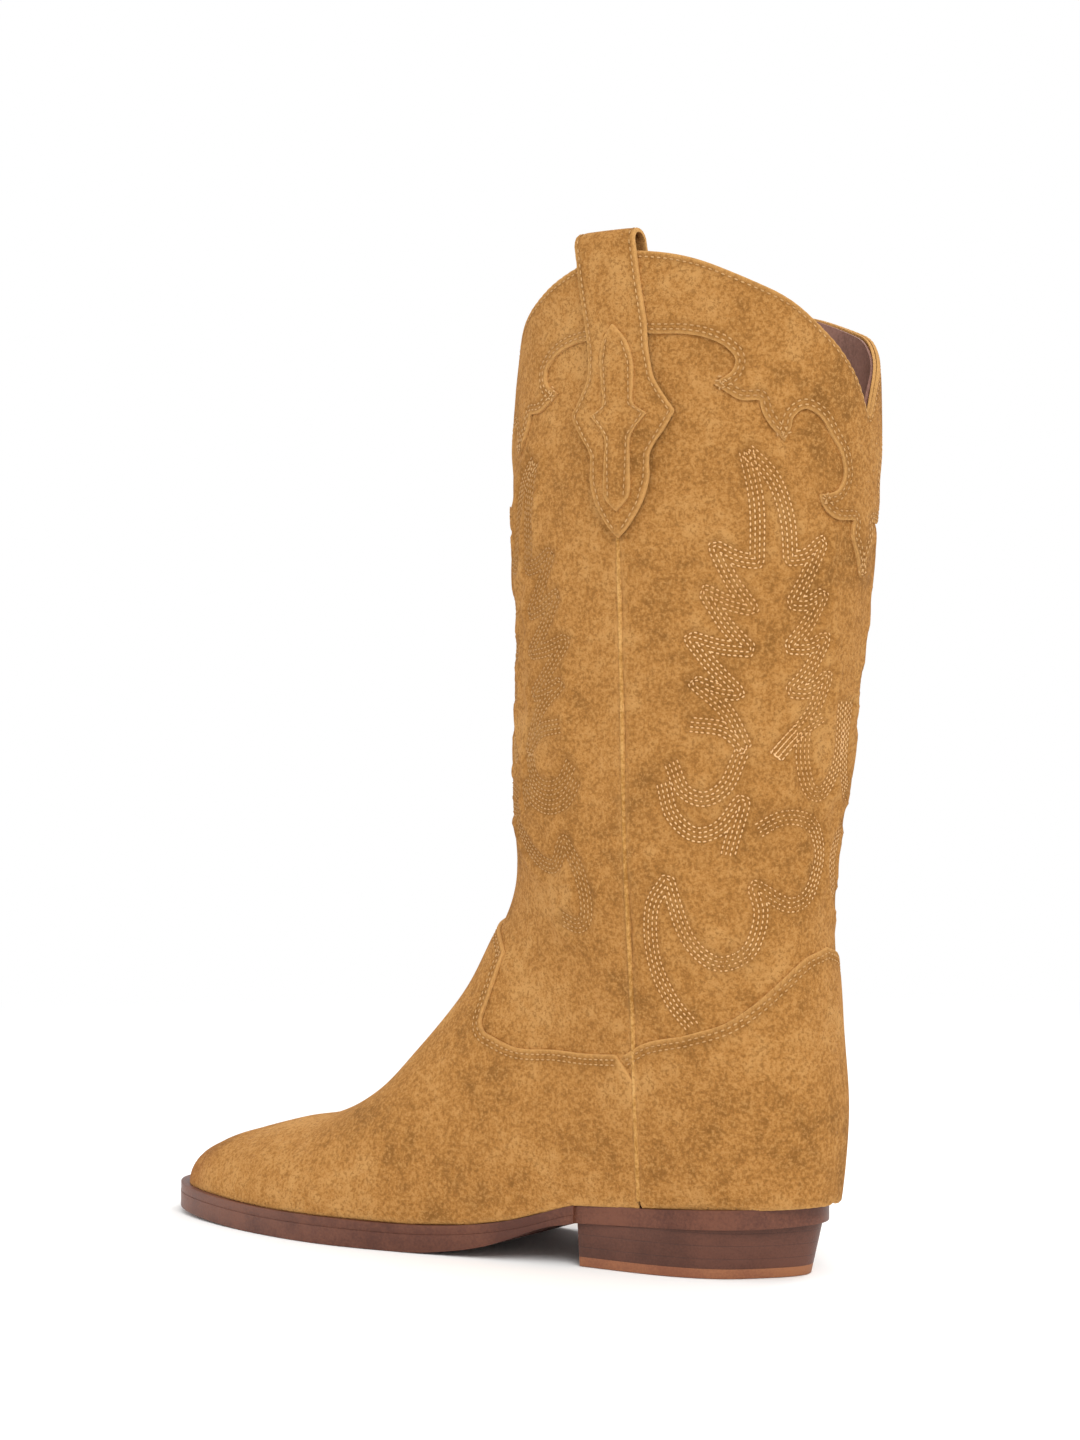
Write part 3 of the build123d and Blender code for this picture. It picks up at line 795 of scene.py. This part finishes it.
@dataclass
class Stitches:
    """Rows of thread loops along lines on a surface. Millimetres."""

    name: str
    surface: Surface
    rows: list
    lift: float
    pitch: float = 2.7
    length: float = 2.1
    width: float = 0.62
    sag: float = 0.0

    def build(self, tree: Tree, thread: Material) -> Piece:
        """Makes the rows as one mesh.

        Args:
            tree: the tree of thread_loops.
            thread: the thread's material.

        Returns:
            The object.
        """
        places, alongs, outs = [], [], []
        for row in self.rows:
            line = spaced(self.surface, row, self.pitch / 2)
            flat = self.surface.place(line, np.zeros(len(line)))
            xyz = self.surface.place(line, self.lift + waves(flat, self.sag))
            step = np.gradient(xyz, axis=0)
            places.append(xyz[1::2])
            alongs.append(step[1::2])
            outs.append(self.surface.normal(line)[1::2])
        mesh = bpy.data.meshes.new(self.name)
        mesh.from_pydata((np.vstack(places) * MM).tolist(), [], [])
        for key, values in (("along", alongs), ("out", outs)):
            data = mesh.attributes.new(key, "FLOAT_VECTOR", "POINT").data
            data.foreach_set("vector", np.vstack(values).astype("f").ravel())
        source = bpy.data.objects.new(self.name, mesh)
        bpy.context.collection.objects.link(source)
        layer = source.modifiers.new("loops", "NODES")
        layer.node_group = tree
        wanted = {"Length": self.length * MM, "Width": self.width * MM,
                  "Height": self.width * 0.7 * MM, "Thread": thread}
        for item in tree.interface.items_tree:
            if item.in_out == "INPUT" and item.name in wanted:
                layer[item.identifier] = wanted[item.name]
        graph = bpy.context.evaluated_depsgraph_get()
        result = bpy.data.meshes.new_from_object(source.evaluated_get(graph))
        source.modifiers.remove(layer)
        source.data = result
        result.shade_smooth()
        log.info("%s: %d stitches", self.name, sum(map(len, places)))
        return source


# ---- the upper's pattern ----------------------------------------------------------------
# Lines on the last as (turn, station), for the outer side's back quarter or the outer half.
COLLAR = (((90, 328), (96, 327), (108, 326), (115, 324), (120, 321), (123, 317), (122, 313),
           (116, 309)),
          ((116, 309), (120, 306), (125, 303), (131, 303)),
          ((131, 303), (132, 299), (135, 294), (140, 289)),
          ((140, 289), (142, 293), (143, 297), (147, 300), (153, 298), (159, 291), (164, 285),
           (166, 278), (163, 273), (154, 271)),
          ((154, 271), (157, 266), (163, 263), (173, 263)),
          ((173, 263), (172, 258), (176, 251), (180, 243)))
FEATHERS = (((127, 286), (131, 268), (132, 248)), ((132, 248), (126, 249), (118, 253)),
            ((118, 253), (124, 241), (131, 232)), ((131, 232), (123, 234), (115, 238)),
            ((115, 238), (122, 227), (131, 218)), ((131, 218), (121, 219), (111, 222)),
            ((111, 222), (119, 212), (128, 203)), ((128, 203), (121, 204), (113, 207)),
            ((113, 207), (124, 197), (132, 183)), ((132, 183), (124, 190), (113, 192)))
FAR_FEATHERS = (((127, 286), (136, 277), (142, 263), (144, 249)), ((144, 249), (150, 250), (157, 255)),
                ((157, 255), (151, 243), (146, 234)), ((146, 234), (152, 234), (159, 237)),
                ((159, 237), (153, 227), (146, 219)), ((146, 219), (154, 219), (162, 222)),
                ((162, 222), (155, 211), (148, 204)), ((148, 204), (156, 204), (165, 209)),
                ((165, 209), (158, 196), (144, 180)), ((144, 180), (154, 190), (163, 195)))
CRESCENTS = (((107, 179), (112, 171), (119, 169), (126, 172), (131, 182)),
             ((105, 173), (109, 165), (117, 161), (126, 163), (133, 169), (130, 158)))
CUP = (((155, 189), (156, 179), (161, 172), (169, 171), (176, 176), (177, 200)),)
SCROLL = (((140, 163), (148, 165.5), (157, 166), (168, 164), (174, 159), (170, 154), (159, 151),
           (141, 153)),
          ((141, 153), (144, 149), (140, 143), (132, 139), (122, 137), (115, 139), (109, 150)),
          ((109, 150), (103, 143), (101, 135), (102, 130), (106, 126), (113, 124)))
VAMP_TOP = (((89, 107.5), (82, 102), (73, 94), (64, 82), (57, 76), (52, 72.5), (48, 72), (45, 75),
             (42, 79), (39, 84), (37, 89)), ((37, 89), (30, 88), (18, 85), (0, 84)))
VAMP_TUCK = (((89, 101), (73, 84), (60, 66), (46, 61), (30, 65), (15, 74), (0, 76)),)
COUNTER_TOP = (((91, 109), (96, 114), (112, 122.5), (127, 128.5), (139, 133.5), (150, 138),
                (164, 142.5), (180, 144.5)),)
TOE_ROWS = (((-14, 30), (-9, 20), (0, 12), (9, 20), (14, 30)),
            ((-8, 31), (-5, 24), (0, 19), (5, 24), (8, 31)))
STRAP_HALF = ((257, 0), (260, 3.2), (263, 5.5), (269, 9.2), (277, 11.6), (286, 11.8), (294, 17),
              (300, 20.5), (306, 16.5), (312, 13.2), (322, 12), (330, 12.3), (342, 12.5))
OVERLAY_HALF = ((266, 0), (271, 4.6), (281, 5), (292, 5.2), (299.5, 11), (303, 6), (310, 6.2),
                (318, 6.4), (325, 4.6), (331, 0))


class Quarter(Enum):
    """Which quarter of the shaft a pattern goes on."""

    OUTER_BACK = "outer_back"
    OUTER_FRONT = "outer_front"
    INNER_BACK = "inner_back"
    INNER_FRONT = "inner_front"

    def turned(self, line: Points) -> Points:
        """The pattern of the outer back quarter, brought here.

        Args:
            line: turn and station of each point.

        Returns:
            The same line on this quarter.
        """
        u = line[:, 0]
        if self in (Quarter.OUTER_FRONT, Quarter.INNER_FRONT):
            u = 180 - u
        if self in (Quarter.INNER_BACK, Quarter.INNER_FRONT):
            u = 360 - u if self is Quarter.INNER_BACK else -u
        return np.column_stack([u, line[:, 1]])


def mirrored(line: Points, about: float) -> Points:
    """The line on the other side of a turn, in reverse order."""
    return np.column_stack([2 * about - line[:, 0], line[:, 1]])[::-1]


@dataclass
class Upper:
    """Vamp, counter, shaft panels, collars, linings and beads. Millimetres."""

    last: Last
    peak: float = 356.0
    rim_dip: float = 53.0
    rim_fall: float = 12.0
    shaft_width: float = 93.0
    row_places: tuple = (-2.4, -0.8, 0.8, 2.4)
    bend_from: tuple = (-0.020, 0.0, 0.122)
    bend_to: tuple = (-0.020, 0.0, 0.200)

    def rim(self, turns: Points) -> Points:
        """Rim's height at some turns.

        Args:
            turns: turns from 0 to 360.

        Returns:
            The height at each.
        """
        arch = np.array(((-140, -52), (-86, -26), (-64, -15), (-45, -6.5), (-30, -1.8), (-16, 0),
                         (-2, -1), (12, -4), (26, -9.5), (42, -17), (62, -28), (100, -50)), float)
        notch = np.array(((0, 1.0), (4, .83), (9, .69), (14, .59), (21, .47), (28, .34), (35, .22),
                          (40, .08), (44, -.2), (60, -2)), float)
        z = np.full(len(turns), 330.0)
        for _ in range(12):
            p = self.last.base(np.column_stack([turns, z]))
            top = self.peak + over(arch, p[:, 0])[:, 0]
            ends = np.abs(p[:, 0] + 20) > 20
            dip = self.peak - self.rim_dip * over(notch, np.abs(p[:, 1]))[:, 0]
            top = np.where(ends, np.minimum(top, dip), top)
            z = 0.4 * z + 0.6 * (top - self.rim_fall * (p[:, 1] / self.shaft_width + 0.5))
        soft = np.convolve(np.pad(z, 2, mode="edge"), (0.1, 0.2, 0.4, 0.2, 0.1), "valid")
        return soft

    def seam(self, stations: Points, inner: bool = False) -> Points:
        """Turn of the side seam at some stations.

        Args:
            stations: stations along the seam.
            inner: the inner side's seam.

        Returns:
            The turn at each.
        """
        turns = np.arange(60.0, 135.0)
        out = []
        for v in stations:
            x = self.last.base(np.column_stack([turns, np.full(len(turns), v)]))[:, 0]
            out.append(np.interp(self.last.seam_x, x, turns))
        u = np.array(out)
        return 360 - u if inner else u

    def rim_line(self, low: float, high: float) -> Points:
        """The rim between two turns."""
        turns = np.linspace(low, high, 160)
        return np.column_stack([turns, self.rim(np.mod(turns, 360))])

    def seam_line(self, low: float, high: float, gap: float = 0.0) -> Points:
        """The outer side seam between two stations, moved backwards by gap degrees."""
        v = np.linspace(low, high, 80)
        return np.column_stack([self.seam(v) + gap, v])

    def feather(self, low: float, high: float) -> Points:
        """Where the outer half meets the seat, between two stations.

        Args:
            low: first station.
            high: last station.

        Returns:
            Turn and station along the meeting line.
        """
        stations = np.linspace(low, high, 150)
        turns = np.arange(60.0, 181.0, 0.5)
        out = []
        for v in stations:
            p = self.last.base(np.column_stack([turns, np.full(len(turns), v)]))
            above = p[:, 2] - self.last.seat(p[:, 0]) - 0.02
            if not (above < 0).any():
                out.append((180.0, v))
                continue
            k = max(1, int(np.argmax(above < 0)))
            share = above[k - 1] / (above[k - 1] - above[k])
            out.append((turns[k - 1] + 0.5 * min(max(share, 0), 1), v))
        return np.array(out)

    def panel(self, back: bool) -> Points:
        """Outline of a shaft panel.

        Args:
            back: the back panel, not the front one.

        Returns:
            The outline's points.
        """
        about, first, gap = (180, 91.0, 0.3) if back else (0, 89.0, -0.3)
        low = joined(COUNTER_TOP) - (0, 7) if back else joined(VAMP_TUCK)
        seam = self.seam_line(low[0, 1], self.rim(np.array([first]))[0], gap)
        rim = self.rim_line(seam[-1, 0], 2 * about - seam[-1, 0])
        return np.vstack([low[::-1][:-1], seam[:-1], rim[:-1], mirrored(seam, about)[:-1],
                          mirrored(low, about)[::-1][:-1]])

    def collar(self, back: bool) -> tuple[Points, Points]:
        """Outline of a collar, and its scalloped lower edge.

        Args:
            back: the back collar, not the front one.

        Returns:
            The outline's points and the edge's points.
        """
        edge = joined(COLLAR)
        if back:
            edge = np.vstack([edge, mirrored(edge, 180)[1:]])
            edge[0, 0], edge[-1, 0] = 90.3, 269.7
        else:
            edge = np.column_stack([180 - edge[:, 0], edge[:, 1]])
            edge = np.vstack([edge, mirrored(edge, 0)[1:]])
            edge[0, 0], edge[-1, 0] = 89.7, -89.7
        top = self.rim_line(edge[0, 0], edge[-1, 0])
        return np.vstack([edge, top[::-1]]), edge

    def embroidery(self, quarter: Quarter) -> list:
        """Stitch rows of one quarter of the shaft.

        Args:
            quarter: where the rows go.

        Returns:
            The lines of the rows.
        """
        rows = []
        for runs in (FEATHERS, FAR_FEATHERS, CRESCENTS[:1], CRESCENTS[1:], CUP, SCROLL):
            line = spaced(self.last, quarter.turned(joined(runs)), 0.7)
            middle = self.last.place(line, np.zeros(len(line)))
            for d in self.row_places:
                row = moved(self.last, line, d)
                far = reach(self.last.place(row, np.zeros(len(row))), [middle]) > abs(d) * 0.86
                cuts = np.flatnonzero(np.diff(far.astype(int))) + 1
                rows += [part for part, keep in zip(np.split(row, cuts), np.split(far, cuts))
                         if keep[0] and len(part) > 4]
        return rows


def strap_outline(half: Run, top: float | None) -> Points:
    """Closed outline from half widths; straight on to top if that is given.

    Args:
        half: height and half width, from the tip up.
        top: station of the far end, or None where the tip closes it.

    Returns:
        The outline's points.
    """
    wide = max(half, key=lambda p: p[1])
    k = half.index(wide)
    line = joined((half[:k + 1], half[k:]))
    right = [(w, z) for z, w in line]
    if top is not None:
        right.append((right[-1][0], top))
    left = [(-w, z) for w, z in reversed(right) if w > 0.01]
    return np.array(right + left, float)


def tube(name: str, middle: Points, side: Points, out: Points, wide: float, high: float,
         material: Material) -> Piece:
    """Closed bead of a flattened round section along a line. Millimetres.

    Args:
        name: the piece's name.
        middle: the middle line.
        side: direction across the bead at each point.
        out: outward direction at each point.
        wide: half width.
        high: half height.
        material: the bead's finish.

    Returns:
        The object.
    """
    turns = np.linspace(0, 2 * math.pi, BEAD_SIDES, endpoint=False)
    rings = [m + np.outer(np.cos(turns) * wide, s) + np.outer(np.sin(turns) * high, o)
             for m, s, o in zip(middle, side, out)]
    count = BEAD_SIDES
    faces = [(i * count + k, i * count + (k + 1) % count, (i + 1) * count + (k + 1) % count,
              (i + 1) * count + k) for i in range(len(rings) - 1) for k in range(count)]
    end = (len(rings) - 1) * count
    faces += [tuple(range(count))[::-1], tuple(end + k for k in range(count))]
    a, b, c = (np.vstack(rings)[list(faces[0])[k]] for k in (0, 1, 2))
    if np.dot(np.cross(b - a, c - a), a - middle[0]) < 0:
        faces = [f[::-1] for f in faces]
    return new_piece(name, np.vstack(rings), faces, material, 60)


@dataclass
class Studio:
    """Camera, lights and floor. Metres."""

    eye: tuple = (0.546, -0.9645, 0.194)
    view: tuple = (-0.5446, 0.8387, 0.0)
    lens: float = 77.75

    def build(self) -> None:
        """Sets the scene up."""
        camera = bpy.data.cameras.new("camera")
        camera.lens, camera.sensor_width, camera.clip_start = self.lens, 36, 0.05
        holder = bpy.data.objects.new("camera", camera)
        holder.location = self.eye
        holder.rotation_euler = Vector(self.view).to_track_quat("-Z", "Y").to_euler()
        bpy.context.collection.objects.link(holder)
        bpy.context.scene.camera = holder
        bpy.context.scene.view_settings.view_transform = "Standard"
        world = bpy.data.worlds.new("studio")
        world.use_nodes = True
        world.node_tree.nodes["Background"].inputs[0].default_value = (1, 1, 1, 1)
        world.node_tree.nodes["Background"].inputs[1].default_value = 1.0
        bpy.context.scene.world = world
        for name, place, size, power in (("key", (1.3, -1.2, 1.5), 0.9, 26.0),
                                         ("fill", (-1.6, -0.9, 0.9), 1.2, 8.0),
                                         ("back", (0.2, 1.6, 1.6), 1.0, 12.0)):
            light = bpy.data.lights.new(name, "AREA")
            light.size, light.energy = size, power
            lamp = bpy.data.objects.new(name, light)
            lamp.location = place
            aim = Vector((-0.05, 0, 0.17)) - Vector(place)
            lamp.rotation_euler = aim.to_track_quat("-Z", "Y").to_euler()
            bpy.context.collection.objects.link(lamp)
        self.floor()

    def floor(self) -> None:
        """Pale paper sweep that fades into the light around it."""
        turns = np.linspace(0, 2 * math.pi, FLOOR_SIDES, endpoint=False)
        ring = np.column_stack([np.cos(turns), np.sin(turns), np.zeros(FLOOR_SIDES)]) * FLOOR_RADIUS
        material, tree, shader, place = blank("paper_floor")
        paper = speckle(tree, place, 60.0)
        shade = mix_colour(tree, paper, linear("#F6F5F3"), linear("#FAFAF9"))
        tree.links.new(shade, shader.inputs["Base Color"])
        shader.inputs["Roughness"].default_value = 0.9
        shader.inputs["Specular IOR Level"].default_value = 0.1
        far = add_node(tree, "ShaderNodeVectorMath", {0: place}, operation="LENGTH").outputs["Value"]
        glow = add_node(tree, "ShaderNodeEmission", {0: (1, 1, 1, 1), 1: 1.0})
        blend = add_node(tree, "ShaderNodeMixShader", {0: ranged(tree, far, 0.3, 1.1),
                                                       1: shader.outputs[0], 2: glow.outputs[0]})
        output = next(n for n in tree.nodes if n.type == "OUTPUT_MATERIAL")
        tree.links.new(blend.outputs[0], output.inputs[0])
        floor = new_piece("floor", ring - (0, 0, 0.2), [tuple(range(FLOOR_SIDES))], material)


def fix(piece: Piece, body: str, slot: str, *nodes: str) -> None:
    """Puts a piece on a body.

    Args:
        piece: what rides.
        body: the body's name.
        slot: not used.
        nodes: solids that it stands for.
    """
    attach(piece, body)
    if nodes:
        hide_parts(*nodes)


def rows_beside(surface: Surface, edge: Points, distances: tuple, above: bool, at: int) -> list:
    """Stitch rows beside an edge.

    Args:
        surface: what the edge lies on.
        edge: the edge's points.
        distances: distance of each row in millimetres.
        above: on the upper side of the edge.
        at: number of the point that tells the sides apart.

    Returns:
        The lines of the rows.
    """
    rows = [moved(surface, edge, d) for d in distances]
    rise = rows[0][at, 1] - edge[at, 1]
    if (rise if above else -rise) < 0:
        rows = [moved(surface, edge, -d) for d in distances]
    return rows


@dataclass
class Boot:
    """The whole boot."""

    last: Last = field(default_factory=Last)

    def finishes(self) -> dict[str, Material]:
        """Every finish by its name.

        Returns:
            The materials by name.
        """
        kinds = (
            # Brushed split cowhide with a rubbed toe: dull, patchy where the nap turns.
            Suede("suede_split", burnish=True),
            # The same hide on the shaft, not rubbed.
            Suede("suede_shaft"),
            # Raw cut edge of the hide: paler, because the dye stays near the surface.
            Suede("suede_edge", nap="#B58446", light="#CFA062", dark="#93652C"),
            # Twisted polyester thread: pale dashes with a slight shine.
            Leather("thread_polyester", "#CF9E66", "#E3B985", 0.5, 0.6, relief=0.0001),
            # Darker thread, hardly lighter than the hide: on the shaft's front quarters it is painted
            # shade on the pale embroidery thread; on the other rows it is the thread's own tone.
            Leather("thread_tonal_and_shaded", "#B08450", "#C79C66", 0.5, 0.7, relief=0.0001),
            # Drum-dyed calf lining: smooth, brown, with a soft gloss.
            Leather("lining_calf", "#6B4638", "#93695A", 1.2, 0.55),
            # Needled felt stiffener: pale and quite dull.
            Leather("stiffener_felt", "#B9AE98", "#CFC6B2", 0.8, 0.9),
            # Stained and waxed sole leather: red-brown with a soft gloss.
            Leather("sole_leather_waxed", "#4C281C", "#6A3F2D", 1.0, 0.48, coat=0.05),
            # Stacked heel leather, waxed: dark, with a fine line at each layer.
            Leather("heel_leather_stacked", "#45261B", "#5E382A", 0.8, 0.5, layer=4.6, coat=0.05),
            # Moulded rubber lift: orange-brown and even.
            Leather("lift_rubber", "#7C4A33", "#94603F", 0.8, 0.6),
            # Ground cork paste: coarse and dull.
            Leather("cork", "#8C6A44", "#B08A5C", 2.0, 0.9),
            # Rolled spring steel: grey metal.
            Leather("steel_spring", "#8F9092", "#B5B6B8", 0.5, 0.35, metal=1.0),
            # Drawn brass pins: yellow metal.
            Leather("brass_pin", "#B08B45", "#CBA862", 0.5, 0.35, metal=1.0),
            # Vegetable-tanned insole board: pale tan and matt.
            Leather("insole_leather", "#A47C55", "#BF9A72", 1.2, 0.7),
        )
        return {kind.name: kind.build() for kind in kinds}

    def finish_solids(self, finish: dict[str, Material]) -> None:
        """Gives the solids that stay their finishes.

        Args:
            finish: the materials by name.
        """
        wear = {"welt": "sole_leather_waxed", "outsole": "sole_leather_waxed",
                "heel_rand": "sole_leather_waxed", "heel_block": "heel_leather_stacked",
                "top_lift": "lift_rubber", "heel_nails": "steel_spring",
                "top_lift_nails": "brass_pin", "insole": "insole_leather",
                "sock_lining": "lining_calf", "vamp_lining": "lining_calf",
                "quarter_lining": "lining_calf", "cork_filler": "cork", "shank": "steel_spring",
                "toe_puff": "stiffener_felt", "heel_stiffener": "stiffener_felt"}
        for node, name in wear.items():
            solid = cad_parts[node]
            solid.data.materials.clear()
            solid.data.materials.append(finish[name])

    def ease_edges(self, node: str, width: float, slot: str) -> None:
        """Stands a copy with rounded edges in for one solid of the sole.

        Args:
            node: the solid's name.
            width: width of the rounding in millimetres.
            slot: not used; it is only passed on to fix.
        """
        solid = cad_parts[node]
        mesh = solid.data.copy()
        net = bmesh.new()
        net.from_mesh(mesh)
        bmesh.ops.remove_doubles(net, verts=net.verts, dist=2e-6)
        bmesh.ops.dissolve_limit(net, angle_limit=math.radians(0.6), verts=net.verts, edges=net.edges)
        net.to_mesh(mesh)
        net.free()
        piece = bpy.data.objects.new(f"{node}_eased", mesh)
        bpy.context.collection.objects.link(piece)
        rounding = piece.modifiers.new("rounding", "BEVEL")
        rounding.width, rounding.segments, rounding.limit_method = width * MM, 3, "ANGLE"
        rounding.angle_limit = math.radians(40)
        graph = bpy.context.evaluated_depsgraph_get()
        result = bpy.data.meshes.new_from_object(piece.evaluated_get(graph))
        piece.modifiers.remove(rounding)
        piece.data = result
        result.shade_smooth()
        result.set_sharp_from_angle(angle=math.radians(38))
        fix(piece, "foot", slot, node)
        log.info("%s: %d faces", piece.name, len(result.polygons))

    def bend(self, piece: Piece, upper: Upper) -> None:
        """Bakes a piece's placement into its mesh.

        Args:
            piece: the piece to bake.
            upper: not used.
        """
        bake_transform(piece)

    def build(self) -> None:
        """Makes every piece."""
        last, finish = self.last, self.finishes()
        upper = Upper(last)
        tree = stitch_tree()
        suede, shaft, thread, tonal_and_shaded = (finish[k] for k in ("suede_split", "suede_shaft",
                                                           "thread_polyester", "thread_tonal_and_shaded"))
        self.finish_solids(finish)
        for node, width, slot in (("welt", 1.0, "sole"), ("outsole", 0.7, "sole"),
                                  ("heel_block", 0.5, "heel"), ("top_lift", 0.5, "lift")):
            self.ease_edges(node, width, slot)
        self.foot(upper, tree, suede, tonal_and_shaded)
        self.shaft(upper, tree, shaft, thread, tonal_and_shaded, finish["lining_calf"])
        self.beads(upper, finish["suede_edge"])
        for inner in (False, True):
            self.strap(upper, tree, shaft, tonal_and_shaded, inner)

    def foot(self, upper: Upper, tree: Tree, suede: Material, thread: Material) -> None:
        """Vamp and counter with their stitch rows.

        Args:
            upper: the upper's sizes and lines.
            tree: the tree of thread_loops.
            suede: the leather's finish.
            thread: the thread's finish.
        """
        last = self.last
        top = joined(VAMP_TOP)
        low_station = last.stations[0]
        seam = upper.seam_line(60, top[0, 1], -0.3)
        sole = upper.feather(low_station, 100)
        meet = int(np.argmin([abs(last.base(p[None])[0, 0] + VAMP_MEETS_SOLE_AT) for p in sole]))
        sole = sole[:meet + 1]
        seam = seam[seam[:, 1] > sole[-1, 1]]
        half = np.vstack([sole, seam[:-1], top])
        outline = np.vstack([half, mirrored(half, 0)[1:]])
        edge = np.vstack([top, mirrored(top, 0)[1:]])
        rows = rows_beside(last, edge, VAMP_ROWS, False, len(edge) // 2)
        rows += [smooth(run) for run in TOE_ROWS]
        vamp = Sheet("vamp_suede", last, outline, 0.0, 1.3, rows, 1.7, 1.3, sag=0.5)
        fix(vamp.build(suede), "foot", "suede", "vamp", "vamp_interlining")
        sewn = Stitches("vamp_stitches", last, rows, 1.1, 2.4, 1.6, sag=0.5)
        fix(sewn.build(tree, thread), "foot", "suede_edge")

        top = joined(COUNTER_TOP)
        sole = upper.feather(85, 122)
        meet = int(np.argmin([abs(last.base(p[None])[0, 0] + COUNTER_MEETS_SOLE_AT) for p in sole]))
        sole = sole[meet:]
        back = int(np.argmax(sole[:, 0] > 179.4)) or len(sole) - 1
        sole = sole[:back + 1]
        seam = upper.seam_line(sole[0, 1], top[0, 1], 0.3)
        half = np.vstack([sole[::-1], seam[1:-1], top])
        outline = np.vstack([half, mirrored(half, 180)[1:-1]])
        edge = np.vstack([top, mirrored(top, 180)[1:]])
        rows = rows_beside(last, edge, VAMP_ROWS, False, len(edge) // 2)
        counter = Sheet("counter_suede", last, outline, 0.0, 1.3, rows, 1.7, 0.8, sag=0.4)
        fix(counter.build(suede), "foot", "suede", "counter")
        sewn = Stitches("counter_stitches", last, rows, 1.1, 2.4, 1.6, sag=0.4)
        fix(sewn.build(tree, thread), "foot", "suede_edge")

    def shaft(self, upper: Upper, tree: Tree, suede: Material, thread: Material,
              tonal_and_shaded: Material, lining: Material) -> None:
        """Panels with their embroidery, collars and linings.

        Args:
            upper: the upper's sizes and lines.
            tree: the tree of thread_loops.
            suede: the leather's finish.
            thread: the thread's finish.
            tonal_and_shaded: finish of the darker thread, used for the collar rows and as painted
                shade on the front quarters.
            lining: the lining's finish.
        """
        last = self.last
        sides = {False: (Quarter.OUTER_FRONT, Quarter.INNER_FRONT),
                 True: (Quarter.OUTER_BACK, Quarter.INNER_BACK)}
        for back, quarters in sides.items():
            end = "back" if back else "front"
            outline = upper.panel(back)
            rows = [row for q in quarters for row in upper.embroidery(q)]
            panel = Sheet(f"{end}_shaft_suede", last, outline, -1.3, 1.3, rows, 1.9, 1.9,
                          puff=1.0, sag=0.9).build(suede)
            self.bend(panel, upper)
            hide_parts(f"{end}_panel", f"ankle_{end}_panel")
            for q in quarters:
                # The front quarters take the darker thread: painted shade on the same pale thread as
                # the back quarters.
                sewn = Stitches(f"embroidery_{q.value}", last, upper.embroidery(q), -0.14,
                                2.0, 1.35, 0.6, sag=0.9).build(tree, thread if back else tonal_and_shaded)
                self.bend(sewn, upper)
            outline, edge = upper.collar(back)
            inner = rows_beside(last, edge, COLLAR_ROWS, True, 0)
            crest = upper.rim_line(edge[0, 0], edge[-1, 0]) - (0, 2.0)
            collar = Sheet(f"{end}_collar_suede", last, outline, 0.0, 1.3, inner + [crest], 1.5, 1.5,
                           sag=0.9, sink=0.35)
            fix(collar.build(suede), "shaft", "suede", f"{end}_collar")
            sewn = Stitches(f"{end}_collar_stitches", last, inner + [crest], 1.12,
                            2.4, 1.6, sag=0.9)
            fix(sewn.build(tree, tonal_and_shaded), "shaft", "suede_edge")
            turns = (90, 270) if back else (90, -90)
            top = upper.rim_line(*turns) - (0, 0.6)
            low = np.column_stack([np.linspace(turns[1], turns[0], 60), np.full(60, 118.0)])
            calf = Sheet(f"{end}_lining_calf", last, np.vstack([top, low]), -2.7, 1.1, [],
                         3, 3).build(lining)
            self.bend(calf, upper)
            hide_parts(f"shaft_lining_{end}")

    def beads(self, upper: Upper, suede: Material) -> None:
        """Bead in each side seam.

        Args:
            upper: the upper's sizes and lines.
            suede: the bead's finish.
        """
        last = self.last
        for inner, name in ((False, "lateral"), (True, "medial")):
            v = np.linspace(92, 321, 230)
            line = np.column_stack([upper.seam(v, inner), v])
            base = last.place(line, np.zeros(len(line)))
            line = line[base[:, 2] > last.seat(base[:, 0]) + 0.3]
            lift = np.interp(line[:, 1], (104, 116), (1.0, 0.0))
            middle = last.place(line, lift)
            out = last.normal(line)
            side = np.cross(np.gradient(middle, axis=0), out)
            side /= np.linalg.norm(side, axis=1, keepdims=True)
            bead = tube(f"seam_bead_{name}", middle, side, out, 0.85, 1.05, suede)
            self.bend(bead, upper)
            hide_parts(f"foot_piping_{name}", f"shaft_piping_{name}")

    def strap(self, upper: Upper, tree: Tree, suede: Material, thread: Material,
              inner: bool) -> None:
        """One pull strap with its overlay.

        Args:
            upper: the upper's sizes and lines.
            tree: the tree of thread_loops.
            suede: the leather's finish.
            thread: the thread's finish.
            inner: the strap on the inner side.
        """
        name = "medial" if inner else "lateral"
        way = StrapWay(self.last, inner, upper.peak - (upper.rim_fall if inner else 0.0))
        outline = strap_outline(STRAP_HALF, way.end)
        side = np.array([(w - 1.7, z) for z, w in STRAP_HALF if w > 3] + [(10.8, way.end - 3)])
        rows = [side, side * (-1, 1)]
        strap = Sheet(f"pull_strap_suede_{name}", way, outline, 0.0, 1.6, rows, 1.3, 1.3)
        fix(strap.build(suede), "shaft", "suede", f"pull_strap_{name}")
        sewn = Stitches(f"pull_strap_stitches_{name}", way, rows, 1.42, 2.4, 1.8, 0.55)
        fix(sewn.build(tree, thread), "shaft", "suede_edge")
        outline = strap_outline(OVERLAY_HALF, None)
        side = np.array([(max(w - 1.5, 0.4), z) for z, w in OVERLAY_HALF if w > 3])
        rows = [side, side * (-1, 1)]
        overlay = Sheet(f"strap_overlay_suede_{name}", way, outline, 1.6, 1.3, rows, 1.1, 1.1)
        fix(overlay.build(suede), "shaft", "suede", f"pull_strap_overlay_{name}")
        sewn = Stitches(f"strap_overlay_stitches_{name}", way, rows, 2.75, 2.4, 1.8, 0.55)
        fix(sewn.build(tree, thread), "shaft", "suede_edge")


def main() -> None:
    """Builds the boot and the studio."""
    logging.basicConfig(level=logging.INFO, format="%(name)s %(message)s")
    Boot().build()
    Studio().build()
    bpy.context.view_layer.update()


if __name__ == "__main__":
    main()
